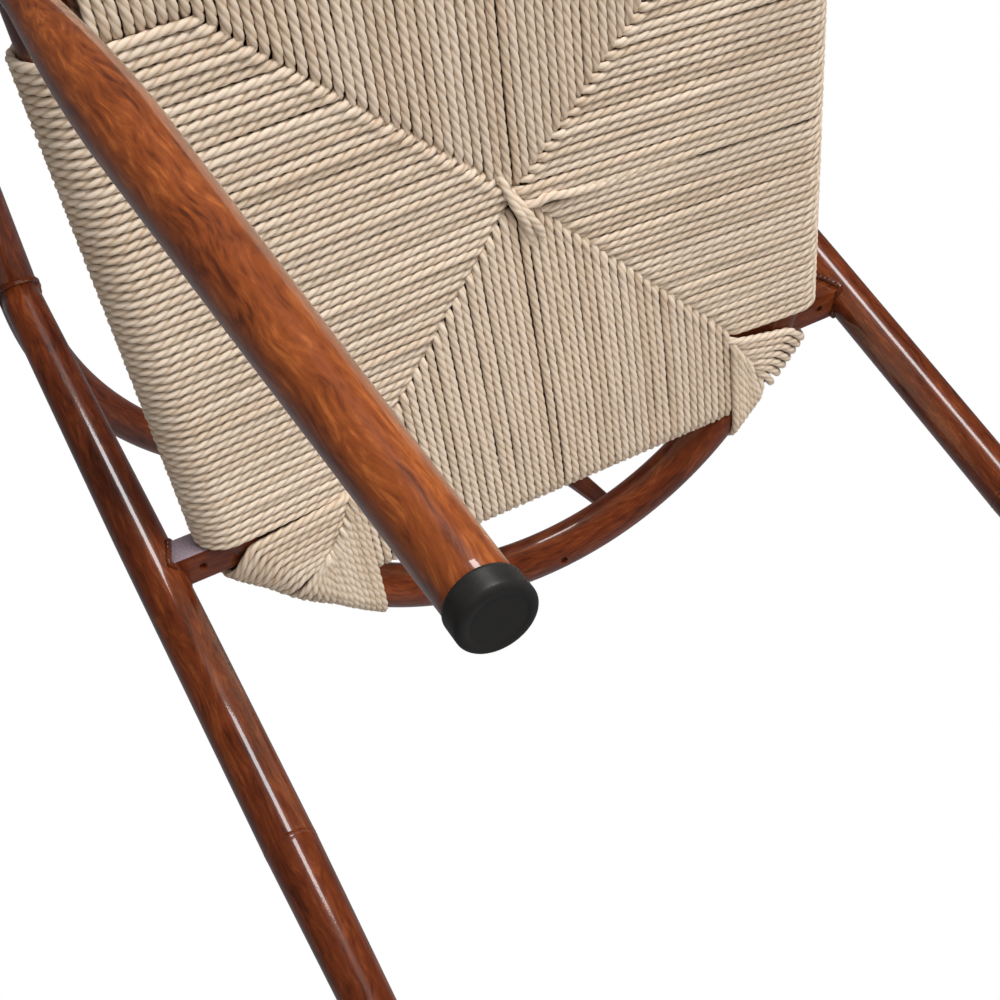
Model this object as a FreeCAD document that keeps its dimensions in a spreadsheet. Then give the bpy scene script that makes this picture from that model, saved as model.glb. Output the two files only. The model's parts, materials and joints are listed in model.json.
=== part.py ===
import FreeCAD, Part
import math
import os

import Sketcher
from FreeCAD import Placement, Rotation, Vector

# A dining armchair of bent and tapered steel tube with a paper cord seat.
# Up is +Z and the sitter faces -Y, so the sitter's right hand is on the -X side.
# The origin is on the floor, under the middle of the chair.

doc = FreeCAD.newDocument("cord_armchair")
sheet = doc.addObject("Spreadsheet::Sheet", "sizes")

# Driving sizes in millimetres and degrees.
# Places named ahead or behind are taken from the middle of the rear cross rail,
# and ahead is towards the front edge of the seat.
SIZES = [
    # Tube and legs
    ("tube_diameter", 28.0),
    ("tube_wall", 1.5),
    ("tip_diameter", 19.5),
    ("shoulder_height", 80.0),
    ("shoulder_drop", 2.6),
    ("neck_diameter", 18.0),
    ("neck_taper_height", 39.0),
    ("neck_length", 63.3),
    ("front_joint_outset", 10.0),
    ("front_foot_inset", 7.0),
    ("front_foot_lead", 12.0),
    ("rear_seam_height", 252.0),
    ("rear_leg_gap", 16.0),
    ("rear_rake_angle", 12.85),
    ("post_straight_rise", 30.0),
    ("post_top_diameter", 24.0),
    # Foot caps
    ("cap_wall", 1.0),
    ("cap_floor", 3.0),
    ("cap_height", 8.0),
    ("cap_rim_radius", 1.6),
    # Seat frame
    ("seat_joint_height", 430.0),
    ("seat_slope_angle", 2.87),
    ("side_front_half_width", 195.0),
    ("side_rear_taper", 6.0),
    ("front_rail_ahead", 345.0),
    ("bow_behind", 112.0),
    ("bow_extra_radius", 11.0),
    ("bow_corner_radius", 60.0),
    ("chord_behind", 42.0),
    ("chord_diameter", 22.0),
    ("cross_section_width", 20.0),
    ("vent_diameter", 4.5),
    ("vent_offset", 7.0),
    ("drain_diameter", 4.0),
    ("drain_inset", 24.0),
    ("weld_reach", 2.4),
    # Top rail and back
    ("top_tube_diameter", 26.0),
    ("top_rail_height", 664.0),
    ("top_slope_angle", 5.14),
    ("post_ahead_of_bend", 17.1),
    ("arm_length", 150.0),
    ("arm_cap_length", 7.0),
    ("arm_cap_round", 5.5),
    ("plug_length", 12.0),
    ("plug_clearance", 0.1),
    ("slat_half_spacing_low", 55.0),
    ("slat_half_spacing_top", 60.0),
    ("slat_width_low", 10.0),
    ("slat_width_top", 30.0),
    ("slat_thickness", 6.0),
    # Paper cord seat
    ("cord_diameter", 5.0),
    ("cord_clearance", 0.3),
    ("weave_centre_ahead", 153.0),
    ("weave_top_rise", 3.5),
    ("weave_under_drop", 1.5),
    ("side_wrap_inset", 46.0),
    ("rear_mitre_inset", 57.0),
    ("rear_mitre_ahead", 10.6),
    ("gusset_start_behind", 12.0),
    ("right_wrap_inset", 75.0),
    ("left_wrap_inset", 51.0),
    ("panel_gap", 0.6),
]
for row, (name, value) in enumerate(SIZES, start=1):
    sheet.set("A%d" % row, name)
    sheet.set("B%d" % row, str(value))
    sheet.setAlias("B%d" % row, name)
doc.recompute()


class Length:
    """A value together with the formula that ties it to the sheet."""

    def __init__(self, value, formula):
        self.value = value
        self.formula = formula

    def mix(self, other, sign, value):
        text = other.formula if isinstance(other, Length) else repr(other)
        return Length(value, "(%s %s %s)" % (self.formula, sign, text))

    def __add__(self, other):
        return self.mix(other, "+", self.value + plain(other))

    def __sub__(self, other):
        return self.mix(other, "-", self.value - plain(other))

    def __mul__(self, other):
        return self.mix(other, "*", self.value * plain(other))

    def __truediv__(self, other):
        return self.mix(other, "/", self.value / plain(other))

    def __neg__(self):
        return Length(-self.value, "(-1 * %s)" % self.formula)


def plain(item):
    """The number behind a length or a plain number."""
    return item.value if isinstance(item, Length) else float(item)


def size(name):
    return Length(float(sheet.get(name)), "sizes." + name)


def root(item):
    return Length(math.sqrt(item.value), "sqrt(%s)" % item.formula)


def cosine(item):
    return Length(math.cos(math.radians(item.value)), "cos(%s)" % item.formula)


def sine(item):
    return Length(math.sin(math.radians(item.value)), "sin(%s)" % item.formula)


tube_r = size("tube_diameter") / 2
tube_bore = tube_r - size("tube_wall")
top_r = size("top_tube_diameter") / 2
top_bore = top_r - size("tube_wall")
chord_r = size("chord_diameter") / 2
tip_r = size("tip_diameter") / 2
neck_r = size("neck_diameter") / 2
post_top_r = size("post_top_diameter") / 2
wrap_inner = tube_r + size("cord_clearance")
wrap_outer = wrap_inner + size("cord_diameter")
chord_inner = chord_r + size("cord_clearance")
chord_outer = chord_inner + size("cord_diameter")
joint_z = size("seat_joint_height")
rake = size("rear_rake_angle")
# The rear legs stand clear of the side rails, and the top rail's half circle is as wide as they are.
front_x = size("side_front_half_width")
rear_x = front_x - size("side_rear_taper")
rear_half = rear_x + size("tube_diameter") + size("rear_leg_gap")
top_radius = rear_half
bow_radius = rear_x + size("bow_extra_radius")
joint_half = front_x + size("front_joint_outset")
foot_half = joint_half - size("front_foot_inset")
reach = size("weld_reach")
# One overrun serves every tool that cuts past a surface.
overrun = size("tube_diameter")

# Each rear post meets the arm above it a set way ahead of where the top rail starts to bend.
top_slope = size("top_slope_angle")
bend_lead = size("post_ahead_of_bend")
above_joint = (size("top_rail_height") - joint_z - bend_lead * sine(top_slope)) / cosine(rake)
top_arc_ahead = above_joint * sine(rake) - bend_lead * cosine(top_slope)

# The front feet reach furthest forward and the top rail furthest back.
foot_ahead = size("front_rail_ahead") + size("front_foot_lead")
front_reach = foot_ahead + tip_r + size("cap_wall")
back_reach = top_radius * cosine(top_slope) - top_arc_ahead + top_r
rail_y = ((front_reach - back_reach) / 2).value

# The seat frame is drawn in its own sloping plane, from the middle of the cross rail.
seat_place = Placement(
    Vector(0, rail_y, joint_z.value),
    Rotation(Vector(1, 0, 0), -size("seat_slope_angle").value),
)
# The top rail is drawn in its own plane, from the middle of its half circle.
top_place = Placement(
    Vector(0, rail_y - top_arc_ahead.value, size("top_rail_height").value),
    Rotation(Vector(1, 0, 0), top_slope.value),
)
X_AXIS = Vector(1, 0, 0)
Y_AXIS = Vector(0, 1, 0)
Z_AXIS = Vector(0, 0, 1)
SIDES = (("right", -1), ("left", 1))
pieces = {}


def local(x=0.0, y=0.0, z=0.0, direction=Z_AXIS):
    """Placement at a point, with Z turned to a direction."""
    return Placement(Vector(plain(x), plain(y), plain(z)), Rotation(Z_AXIS, direction))


def along(start, direction):
    return Placement(start, Rotation(Z_AXIS, direction))


def keep(item, label):
    """Register an object as a finished piece."""
    item.Label = label
    pieces[label] = item
    return item


def bind(item, **formulas):
    for prop, length in formulas.items():
        item.setExpression(prop, length.formula)
    return item


def cylinder(name, radius, height, place):
    item = bind(doc.addObject("Part::Cylinder", name), Radius=radius, Height=height)
    item.Placement = place
    return item


def cone(name, radius_low, radius_top, height, place):
    item = doc.addObject("Part::Cone", name)
    bind(item, Radius1=radius_low, Radius2=radius_top, Height=height)
    item.Placement = place
    return item


def ring(name, radius, thickness, place):
    item = bind(doc.addObject("Part::Torus", name), Radius1=radius, Radius2=thickness)
    item.Placement = place
    return item


def box(name, length, width, height, place):
    """Box centred on its placement in X and Y, rising from it in Z."""
    item = bind(doc.addObject("Part::Box", name), Length=length, Width=width, Height=height)
    item.Placement = place * Placement(Vector(-length.value / 2, -width.value / 2, 0), Rotation())
    return item


def cut(name, base, *tools):
    item = base
    for count, tool in enumerate(tools):
        step = doc.addObject("Part::Cut", name if count == len(tools) - 1 else name + "_step")
        step.Base = item
        step.Tool = tool
        item = step
    return item


def common(name, base, tool):
    item = doc.addObject("Part::Common", name)
    item.Base = base
    item.Tool = tool
    return item


def join(name, *shapes):
    item = doc.addObject("Part::MultiFuse", name)
    item.Shapes = list(shapes)
    return item


def new_sketch(body, name, role, offset=Vector(0, 0, 0)):
    sketch = body.newObject("Sketcher::SketchObject", name)
    plane = next(o for o in body.Origin.OriginFeatures if o.Role == role)
    sketch.AttachmentSupport = [(plane, "")]
    sketch.MapMode = "FlatFace"
    sketch.AttachmentOffset = Placement(offset, Rotation())
    return sketch


def pin(sketch, index, end, x, y):
    """Tie one end of a sketch edge to the sketch's origin."""
    for kind, length, axis in (("DistanceX", x, -2), ("DistanceY", y, -1)):
        if plain(length) == 0:
            sketch.addConstraint(Sketcher.Constraint("PointOnObject", index, end, axis))
            continue
        if plain(length) > 0:
            rule = Sketcher.Constraint(kind, -1, 1, index, end, length.value)
        else:
            length = -length
            rule = Sketcher.Constraint(kind, index, end, -1, 1, length.value)
        number = sketch.addConstraint(rule)
        sketch.setExpression("Constraints[%d]" % number, length.formula)


def flat(x, y):
    return Vector(plain(x), plain(y), 0)


def outline(body, name, role, corners, arcs=None, offset=Vector(0, 0, 0)):
    """Closed outline. Each corner is a pair of lengths.
    arcs maps an edge to its centre, radius and a point that it passes, or to the pole
    of a slow curve, and an arc runs tangent into its neighbours where corners are loose."""
    arcs = arcs or {}
    sketch = new_sketch(body, name, role, offset)
    count = len(corners)
    ends = []
    for k in range(count):
        start = flat(*corners[k][:2])
        end = flat(*corners[(k + 1) % count][:2])
        if k in arcs and "pole" in arcs[k]:
            curve = Part.BSplineCurve()
            curve.buildFromPolesMultsKnots([start, arcs[k]["pole"], end], [3, 3], [0, 1], False, 2)
            sketch.addGeometry(curve, False)
        elif k in arcs:
            via = arcs[k]["via"]
            # Every arc is drawn counter-clockwise, whichever way the outline runs.
            first, last = (start, end) if (via - start).cross(end - via).z > 0 else (end, start)
            sketch.addGeometry(Part.Arc(first, via, last), False)
        else:
            sketch.addGeometry(Part.LineSegment(start, end), False)
        first = sketch.Geometry[k].StartPoint
        ends.append((1, 2) if first.distanceToPoint(start) < first.distanceToPoint(end) else (2, 1))
    for k in range(count):
        after = (k + 1) % count
        loose = len(corners[after]) > 2
        kind = "Tangent" if loose else "Coincident"
        sketch.addConstraint(Sketcher.Constraint(kind, k, ends[k][1], after, ends[after][0]))
        if not loose:
            pin(sketch, after, ends[after][0], *corners[after])
    for k, arc in arcs.items():
        if "pole" in arc:
            continue
        if "centre" in arc:
            pin(sketch, k, 3, *arc["centre"])
        number = sketch.addConstraint(Sketcher.Constraint("Radius", k, arc["radius"].value))
        sketch.setExpression("Constraints[%d]" % number, arc["radius"].formula)
    return sketch


def turned(label, corners, place, arcs=None):
    """A piece turned about its own Z axis from an outline of radius and height."""
    body = doc.addObject("PartDesign::Body", label)
    profile = outline(body, label + "_profile", "XZ_Plane", corners, arcs)
    doc.recompute()
    spin = body.newObject("PartDesign::Revolution", label + "_turning")
    spin.Profile = profile
    spin.ReferenceAxis = (profile, ["V_Axis"])
    spin.Angle = 360
    doc.recompute()
    body.Placement = place
    return body


def padded(name, role, corners, length, place, arcs=None):
    """An outline padded by the same amount to both sides of its plane."""
    body = doc.addObject("PartDesign::Body", name)
    profile = outline(body, name + "_outline", role, corners, arcs)
    doc.recompute()
    pad = body.newObject("PartDesign::Pad", name + "_pad")
    pad.Profile = profile
    pad.SideType = "Symmetric"
    pad.setExpression("Length", length.formula)
    doc.recompute()
    body.Placement = place
    return body


def bent_tube(label, path_edges, radii, place):
    """Tube swept along lines and arcs in the body's XY plane that set off along Y."""
    body = doc.addObject("PartDesign::Body", label)
    path = new_sketch(body, label + "_path", "XY_Plane")
    for edge in path_edges:
        path.addGeometry(edge, False)
    start = path_edges[0].StartPoint
    section = new_sketch(body, label + "_section", "XZ_Plane", Vector(start.x, 0, -start.y))
    for k, radius in enumerate(radii):
        circle = Part.Circle(Vector(0, 0, 0), Z_AXIS, radius.value)
        section.addGeometry(circle, False)
        section.addConstraint(Sketcher.Constraint("Coincident", k, 3, -1, 1))
        number = section.addConstraint(Sketcher.Constraint("Radius", k, radius.value))
        section.setExpression("Constraints[%d]" % number, radius.formula)
    doc.recompute()
    pipe = body.newObject("PartDesign::AdditivePipe", label + "_sweep")
    pipe.Profile = section
    pipe.Spine = (path, ["Edge%d" % (k + 1) for k in range(len(path_edges))])
    doc.recompute()
    body.Placement = place
    return body


# Space below the level where the tubes stop inside their foot caps, and below the floor
wide = joint_z * 4
below_cap_floor = box(
    "below_cap_floor", wide, wide, wide, local(z=-(wide - size("cap_floor")))
)
below_floor = box("below_floor", wide, wide, wide, local(z=-wide))

# Axes of the legs: where each meets the floor, and its direction upwards
rear_up = Vector(0, -sine(rake).value, cosine(rake).value)
leg_length = joint_z / cosine(rake)
seam = size("rear_seam_height") / cosine(rake)


def rear_foot(side):
    joint = Vector(side * rear_half.value, rail_y, joint_z.value)
    return joint - rear_up * leg_length.value


def front_foot(side):
    x = side * foot_half.value
    return Vector(x, rail_y - foot_ahead.value, 0)


def front_up(side):
    x = side * joint_half.value
    top = seat_place.multVec(Vector(x, -size("front_rail_ahead").value, 0))
    return (top - front_foot(side)).normalize()


# Front legs: turned tube, thickest halfway up, tapering to the foot and to a slim neck
front_rise = size("front_rail_ahead") * sine(size("seat_slope_angle"))
leg_top = joint_z + front_rise
neck_z = leg_top - size("neck_length")
shoulder_z = neck_z - size("neck_taper_height")
swell = shoulder_z - size("shoulder_height")
shoulder_r = tube_r - size("shoulder_drop")
wall = size("tube_wall")


def shoulder_curve(inset):
    """Pole of the slow curve from the swell up to the shoulder, on the wall's inside or out."""
    middle = swell + size("shoulder_height") / 2
    return {"pole": flat(tube_r - inset, middle)}


front_profile = [
    (tip_r, 0),
    (tube_r, swell),
    (shoulder_r, shoulder_z),
    (neck_r, neck_z),
    (neck_r, leg_top),
    (0, leg_top),
    (0, leg_top - wall),
    (neck_r - wall, leg_top - wall),
    (neck_r - wall, neck_z),
    (shoulder_r - wall, shoulder_z),
    (tube_r - wall, swell),
    (tip_r - wall, 0),
]

def plug_profile(radius, bore, length, round_radius):
    """Rounded end cap with a plug that fits the tube below it."""
    plug = bore - size("plug_clearance")
    corners = [
        (0, length),
        (radius - round_radius, length),
        (radius, length - round_radius),
        (radius, 0),
        (plug, 0),
        (plug, -size("plug_length")),
        (0, -size("plug_length")),
    ]
    half = math.cos(math.radians(45))
    centre = Vector((radius - round_radius).value, (length - round_radius).value, 0)
    via = centre + Vector(half, half, 0) * round_radius.value
    return corners, {1: {"radius": round_radius, "via": via}}


# Rear legs: a tapered foot piece butted to a post that runs on up to the top rail
straight_top = leg_length + size("post_straight_rise")
post_top = leg_length + above_joint

post_profile = [
    (tube_r, seam),
    (tube_r, straight_top),
    (post_top_r, post_top),
    (post_top_r - wall, post_top),
    (tube_bore, straight_top),
    (tube_bore, seam),
]
arm_reach = size("arm_length") + overrun
for word, side in SIDES:
    place = along(rear_foot(side), rear_up)
    post = turned("rear_post_%s_tube" % word, post_profile, place)
    arm_room = cylinder(
        "arm_room_%s" % word,
        top_r,
        arm_reach,
        top_place * local(x=top_radius * side, direction=-Y_AXIS),
    )
    keep(cut("rear_post_%s_cut" % word, post, arm_room), "rear_post_%s" % word)
    taper_profile = [(tip_r, 0), (tube_r, seam), (tube_bore, seam), (tip_r - wall, 0)]
    taper = turned("rear_leg_taper_%s_tube" % word, taper_profile, place)
    keep(cut("rear_leg_taper_%s_cut" % word, taper, below_cap_floor), "rear_leg_taper_%s" % word)


# Black foot caps: cut flat on the floor, with a rounded rim and a seat for the tube
def foot_cap(label, foot, up, taper_height):
    outer_r = tip_r + size("cap_wall")
    low = foot - up * size("cap_height").value
    blank = cylinder(label + "_blank", outer_r, size("cap_height") * 2, along(low, up))
    flat_cap = cut(label + "_flat", blank, below_floor)
    doc.recompute()
    rim = [
        k + 1
        for k, edge in enumerate(flat_cap.Shape.Edges)
        if abs(edge.BoundBox.ZMax) < 1e-4 and abs(edge.BoundBox.ZMin) < 1e-4
    ]
    rounded = doc.addObject("Part::Fillet", label + "_rim")
    rounded.Base = flat_cap
    radius = size("cap_rim_radius").value
    rounded.Edges = [(k, radius, radius) for k in rim]
    leg = cone(label + "_leg", tip_r, tube_r, taper_height, along(foot, up))
    leg_room = cut(label + "_room", leg, below_cap_floor)
    return keep(cut(label + "_cap", rounded, leg_room), label)


for word, side in SIDES:
    foot_cap("front_foot_cap_%s" % word, front_foot(side), front_up(side), swell)
    foot_cap("rear_foot_cap_%s" % word, rear_foot(side), rear_up, seam)

# Seat hoop: side rails and rear bow bent from one tube, mitred to the front rail
front_y = size("front_rail_ahead")
start_y = -(front_y + overrun).value
splay = (front_x - rear_x).value / front_y.value
splay_angle = math.degrees(math.atan(splay))
bow_middle = size("bow_behind") - bow_radius
bow_centre = Vector(0, bow_middle.value, 0)
corner_radius = size("bow_corner_radius").value


def side_x(y):
    """Half width between the side rail axes at a distance behind the cross rail."""
    return rear_x.value - splay * y


def hoop_path():
    """Half of the hoop's axis: side rail, corner bend and bow, on the sitter's left."""
    run = Vector(-math.sin(math.atan(splay)), math.cos(math.atan(splay)), 0)
    inward = Vector(-run.y, run.x, 0)
    start = Vector(side_x(start_y), start_y, 0)
    shifted = start + inward * corner_radius
    gap = shifted - bow_centre
    b = gap.dot(run)
    c = gap.dot(gap) - (bow_radius.value - corner_radius) ** 2
    centre = shifted + run * (-b + math.sqrt(b * b - c))
    leave = centre - inward * corner_radius
    outward = (centre - bow_centre).normalize()
    arrive = bow_centre + outward * bow_radius.value
    middle = (outward - inward).normalize()
    return start, leave, centre + middle * corner_radius, arrive


start, leave, bend_via, arrive = hoop_path()


def mirrored(point):
    return Vector(-point.x, point.y, 0)


bow_top = bow_centre + Y_AXIS * bow_radius.value
hoop_tube = bent_tube(
    "seat_hoop_tube",
    [
        Part.LineSegment(start, leave),
        Part.Arc(leave, bend_via, arrive),
        Part.Arc(arrive, bow_top, mirrored(arrive)),
        Part.Arc(mirrored(arrive), mirrored(bend_via), mirrored(leave)),
        Part.LineSegment(mirrored(leave), mirrored(start)),
    ],
    [tube_r, tube_bore],
    seat_place,
)
past = overrun * 2
front_wedge = padded(
    "front_wedge",
    "XY_Plane",
    [
        (0, front_x - front_y),
        (-(front_x + past), -(front_y + past)),
        (front_x + past, -(front_y + past)),
    ],
    past * 2,
    seat_place,
)
cross_width = size("cross_section_width")
cross_half = cross_width / 2
cross_room = box(
    "cross_rail_room",
    rear_half * 2,
    cross_width,
    cross_width,
    seat_place * local(z=-cross_half),
)
vent = cylinder(
    "vent",
    size("vent_diameter") / 2,
    tube_r + wall,
    seat_place * local(size("vent_offset"), bow_top.y, 0, -Z_AXIS),
)
keep(
    cut("seat_hoop_cut", hoop_tube, front_wedge, cross_room, vent),
    "seat_hoop",
)

# Front rail between the mitred corners
rail_length = (front_x + past) * 2
front_rail_place = seat_place * local(x=-rail_length / 2, y=-front_y, direction=X_AXIS)
front_tube = cut(
    "front_rail_tube",
    cylinder("front_rail_outer", tube_r, rail_length, front_rail_place),
    cylinder("front_rail_bore", tube_bore, rail_length, front_rail_place),
)
keep(common("front_rail_mitred", front_tube, front_wedge), "front_rail")

# Front legs, with each slim neck coped to the underside of the frame's corner
front_room = cylinder("front_rail_room", tube_r, rail_length, front_rail_place)
for word, side in SIDES:
    tube = turned(
        "front_leg_%s_tube" % word,
        front_profile,
        along(front_foot(side), front_up(side)),
        {1: shoulder_curve(0), 9: shoulder_curve(wall)},
    )
    run = Vector(-splay * side, 1, 0)
    side_room = cylinder(
        "side_rail_room_%s" % word,
        tube_r,
        front_y,
        seat_place * local(side_x(start_y) * side, start_y, 0, run),
    )
    leg = cut("front_leg_%s_cut" % word, tube, below_cap_floor, front_room, side_room)
    keep(leg, "front_leg_%s" % word)

# Square cross rail from rear leg to rear leg, with a drain hole beside each joint
cross_bore = cross_width - wall * 2
cross_inner = box(
    "cross_rail_bore",
    rear_half * 2,
    cross_bore,
    cross_bore,
    seat_place * local(z=-cross_bore / 2),
)
leg_rooms = {}
for word, side in SIDES:
    leg_rooms[word] = cylinder(
        "leg_room_%s" % word,
        tube_r,
        straight_top - seam,
        along(rear_foot(side) + rear_up * seam.value, rear_up),
    )
drain_x = rear_half - size("drain_inset")
drains = [
    cylinder(
        "drain_%s" % word,
        size("drain_diameter") / 2,
        cross_width,
        seat_place * local(drain_x * side, 0, 0, -Z_AXIS),
    )
    for word, side in SIDES
]
cross_outer = cut("cross_rail_tube", cross_room, cross_inner)
keep(
    cut("cross_rail_cut", cross_outer, leg_rooms["right"], leg_rooms["left"], *drains),
    "cross_rail",
)

# Chord bar across the back of the woven field, coped to the bow
chord_y = size("chord_behind")
chord_gap = chord_y - bow_middle
chord_half = root(bow_radius * bow_radius - chord_gap * chord_gap)
chord_place = seat_place * local(x=-chord_half, y=chord_y, direction=X_AXIS)
bow_room = ring("bow_room", bow_radius, tube_r, seat_place * local(y=bow_middle))
chord_tube = cut(
    "chord_bar_tube",
    cylinder("chord_outer", chord_r, chord_half * 2, chord_place),
    cylinder("chord_bore", chord_r - wall, chord_half * 2, chord_place),
)
keep(cut("chord_bar_cut", chord_tube, bow_room), "chord_bar")

# Top rail: one tube bent to a half circle that runs on into two straight arms
arm_start = Vector(-top_radius.value, -size("arm_length").value, 0)
arm_joint = Vector(-top_radius.value, 0, 0)
top_back = Vector(0, top_radius.value, 0)
top_rail = bent_tube(
    "top_rail",
    [
        Part.LineSegment(arm_start, arm_joint),
        Part.Arc(arm_joint, top_back, mirrored(arm_joint)),
        Part.LineSegment(mirrored(arm_joint), mirrored(arm_start)),
    ],
    [top_r, top_bore],
    top_place,
)
keep(top_rail, "top_rail")
for word, side in SIDES:
    corners, arcs = plug_profile(top_r, top_bore, size("arm_cap_length"), size("arm_cap_round"))
    label = "arm_end_cap_%s" % word
    end = top_place * local(top_radius * side, arm_start.y, 0, -Y_AXIS)
    keep(turned(label, corners, end, arcs), label)

# Back slats: flat bars that widen upwards, from the bow to the underside of the top rail
top_room = ring("top_rail_room", top_radius, top_r, top_place)
low_x = size("slat_half_spacing_low")
high_x = size("slat_half_spacing_top")
low_y = bow_centre.y + root(bow_radius * bow_radius - low_x * low_x).value
high_y = root(top_radius * top_radius - high_x * high_x).value
slat_frames = {}
for word, side in SIDES:
    low = seat_place.multVec(Vector(side * low_x.value, low_y, 0))
    high = top_place.multVec(Vector(side * high_x.value, high_y, 0))
    run = high - low
    slat_place = Placement(low, Rotation(X_AXIS, Y_AXIS, Vector(run).normalize(), "ZXY"))
    length = Length(run.Length, repr(run.Length))
    half_low = size("slat_width_low") / 2
    half_top = size("slat_width_top") / 2
    slat = padded(
        "back_slat_%s_bar" % word,
        "XZ_Plane",
        [(-half_low, 0), (half_low, 0), (half_top, length), (-half_top, length)],
        size("slat_thickness"),
        slat_place,
    )
    doc.recompute()
    long_edges = [
        k + 1
        for k, edge in enumerate(slat.Shape.Edges)
        if edge.Length > length.value - overrun.value
    ]
    soft = doc.addObject("Part::Fillet", "back_slat_%s_round" % word)
    soft.Base = slat
    soft_radius = size("slat_thickness").value / 3
    soft.Edges = [(k, soft_radius, soft_radius) for k in long_edges]
    slat_frames[word] = (slat_place, length, soft)
    keep(cut("back_slat_%s_cut" % word, soft, bow_room, top_room), "back_slat_%s" % word)

# Weld beads: each fills the corner between two pieces to the reach of the weld
for word, side in SIDES:
    grown = cross_width + reach * 2
    block_x = (rear_half - tube_r * 2) * side
    block = box(
        "cross_weld_block_%s" % word,
        tube_r * 4,
        grown,
        grown,
        seat_place * local(x=block_x, z=-grown / 2),
    )
    halo = cylinder(
        "cross_weld_halo_%s" % word,
        tube_r + reach,
        straight_top - seam,
        along(rear_foot(side) + rear_up * seam.value, rear_up),
    )
    bead = common("cross_weld_%s" % word, block, halo)
    keep(
        cut("cross_weld_%s_cut" % word, bead, leg_rooms[word], cross_room),
        "cross_rail_weld_%s" % word,
    )
    # The post's upper end, grown, where it meets the arm
    collar_low = post_top - top_r - reach * 2
    upper = along(rear_foot(side) + rear_up * collar_low.value, rear_up)
    collar_height = top_r + reach * 2
    collar = cylinder("post_weld_collar_%s" % word, post_top_r + reach, collar_height, upper)
    arm_axis = top_place * local(x=top_radius * side, direction=-Y_AXIS)
    arm_halo = cylinder("post_weld_halo_%s" % word, top_r + reach, arm_reach, arm_axis)
    arm_solid = cylinder("post_weld_arm_%s" % word, top_r, arm_reach, arm_axis)
    post_solid = cone(
        "post_weld_post_%s" % word,
        tube_r,
        post_top_r,
        post_top - straight_top,
        along(rear_foot(side) + rear_up * straight_top.value, rear_up),
    )
    bead = common("post_weld_%s" % word, collar, arm_halo)
    keep(cut("post_weld_%s_cut" % word, bead, arm_solid, post_solid), "post_top_weld_%s" % word)
    # The slat's lower end, grown, where it stands on the bow
    slat_place, length, soft = slat_frames[word]
    foot_block = box(
        "slat_weld_block_%s" % word,
        size("slat_width_low") + reach * 2,
        size("slat_thickness") + reach * 2,
        tube_r * 2,
        slat_place,
    )
    bow_halo = ring("slat_weld_halo_%s" % word, bow_radius, tube_r + reach, bow_room.Placement)
    bead = common("slat_weld_%s" % word, foot_block, bow_halo)
    keep(cut("slat_weld_%s_cut" % word, bead, bow_room, soft), "slat_weld_%s" % word)

# Paper cord seat: every panel is a closed wrap, one cord thick, round its rail
centre_y = size("weave_centre_ahead")
top_low = size("weave_top_rise")
top_high = top_low + size("cord_diameter")
under_high = -size("weave_under_drop")
under_low = under_high - size("cord_diameter")
start_wrap = front_y - size("side_wrap_inset")


def tangent_point(x, z, distance, radius, sign):
    """Where the line from a point meets the round of the wrap, above or below the rail."""
    dx = plain(x) - distance
    dz = plain(z)
    far = math.hypot(dx, dz)
    turn = math.atan2(dz, dx) % (2 * math.pi)
    turn -= sign * math.acos(radius / far)
    return Vector(distance + radius * math.cos(turn), radius * math.sin(turn), 0)


def wrap_outline(distance, inner, outer, bumps=None):
    """Section through a panel: a flat loop that opens at the middle of the seat and goes
    round the rail. bumps gives a half width and a half height that the loop clears."""
    gap = distance.value
    upper = [(0, top_high)]
    lower = [(0, under_low)]
    inner_upper = [(0, top_low)]
    inner_lower = [(0, under_high)]
    if bumps:
        x, height = bumps
        upper.append((x, height + size("cord_diameter")))
        lower.append((x, -(height + size("cord_diameter"))))
        inner_upper.append((x, height))
        inner_lower.append((x, -height))

    def touch(corner, radius, sign):
        point = tangent_point(corner[0], corner[1], gap, radius.value, sign)
        return (point.x, point.y, "loose")

    def via(radius):
        return Vector(gap + radius.value, 0, 0)

    corners = list(upper)
    corners.append(touch(upper[-1], outer, 1))
    outer_edge = len(corners) - 1
    corners.append(touch(lower[-1], outer, -1))
    corners += list(reversed(lower))
    corners += inner_lower
    corners.append(touch(inner_lower[-1], inner, -1))
    inner_edge = len(corners) - 1
    corners.append(touch(inner_upper[-1], inner, 1))
    corners += list(reversed(inner_upper))
    arcs = {
        outer_edge: {"centre": (distance, 0), "radius": outer, "via": via(outer)},
        inner_edge: {"centre": (distance, 0), "radius": inner, "via": via(inner)},
    }
    return corners, arcs


plan_depth = overrun * 3
shift = size("panel_gap") / 2

# Front panel, between the side rails
side_inner = (
    rear_x
    + (front_x - rear_x) * start_wrap / front_y
    - tube_r
    - size("cord_clearance") * 2
)
corner_x = start_wrap - centre_y
corners, arcs = wrap_outline(front_y - centre_y, wrap_inner, wrap_outer)
weave_centre = local(y=-centre_y)
# The section is drawn outwards along the body's X axis, which is turned to face the rail.
front_place = seat_place * weave_centre * Placement(Vector(0, 0, 0), Rotation(Z_AXIS, -90))
front_wrap = padded("front_wrap", "XZ_Plane", corners, front_x * 2, front_place, arcs)
past_front = front_y + overrun
front_plan = padded(
    "front_plan",
    "XY_Plane",
    [
        (0, -(centre_y + shift)),
        (-corner_x, -(start_wrap + shift)),
        (-side_inner, -(start_wrap + shift)),
        (-side_inner, -past_front),
        (side_inner, -past_front),
        (side_inner, -(start_wrap + shift)),
        (corner_x, -(start_wrap + shift)),
    ],
    plan_depth,
    seat_place,
)
keep(common("seat_front_panel_cut", front_wrap, front_plan), "seat_front_panel")

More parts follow.
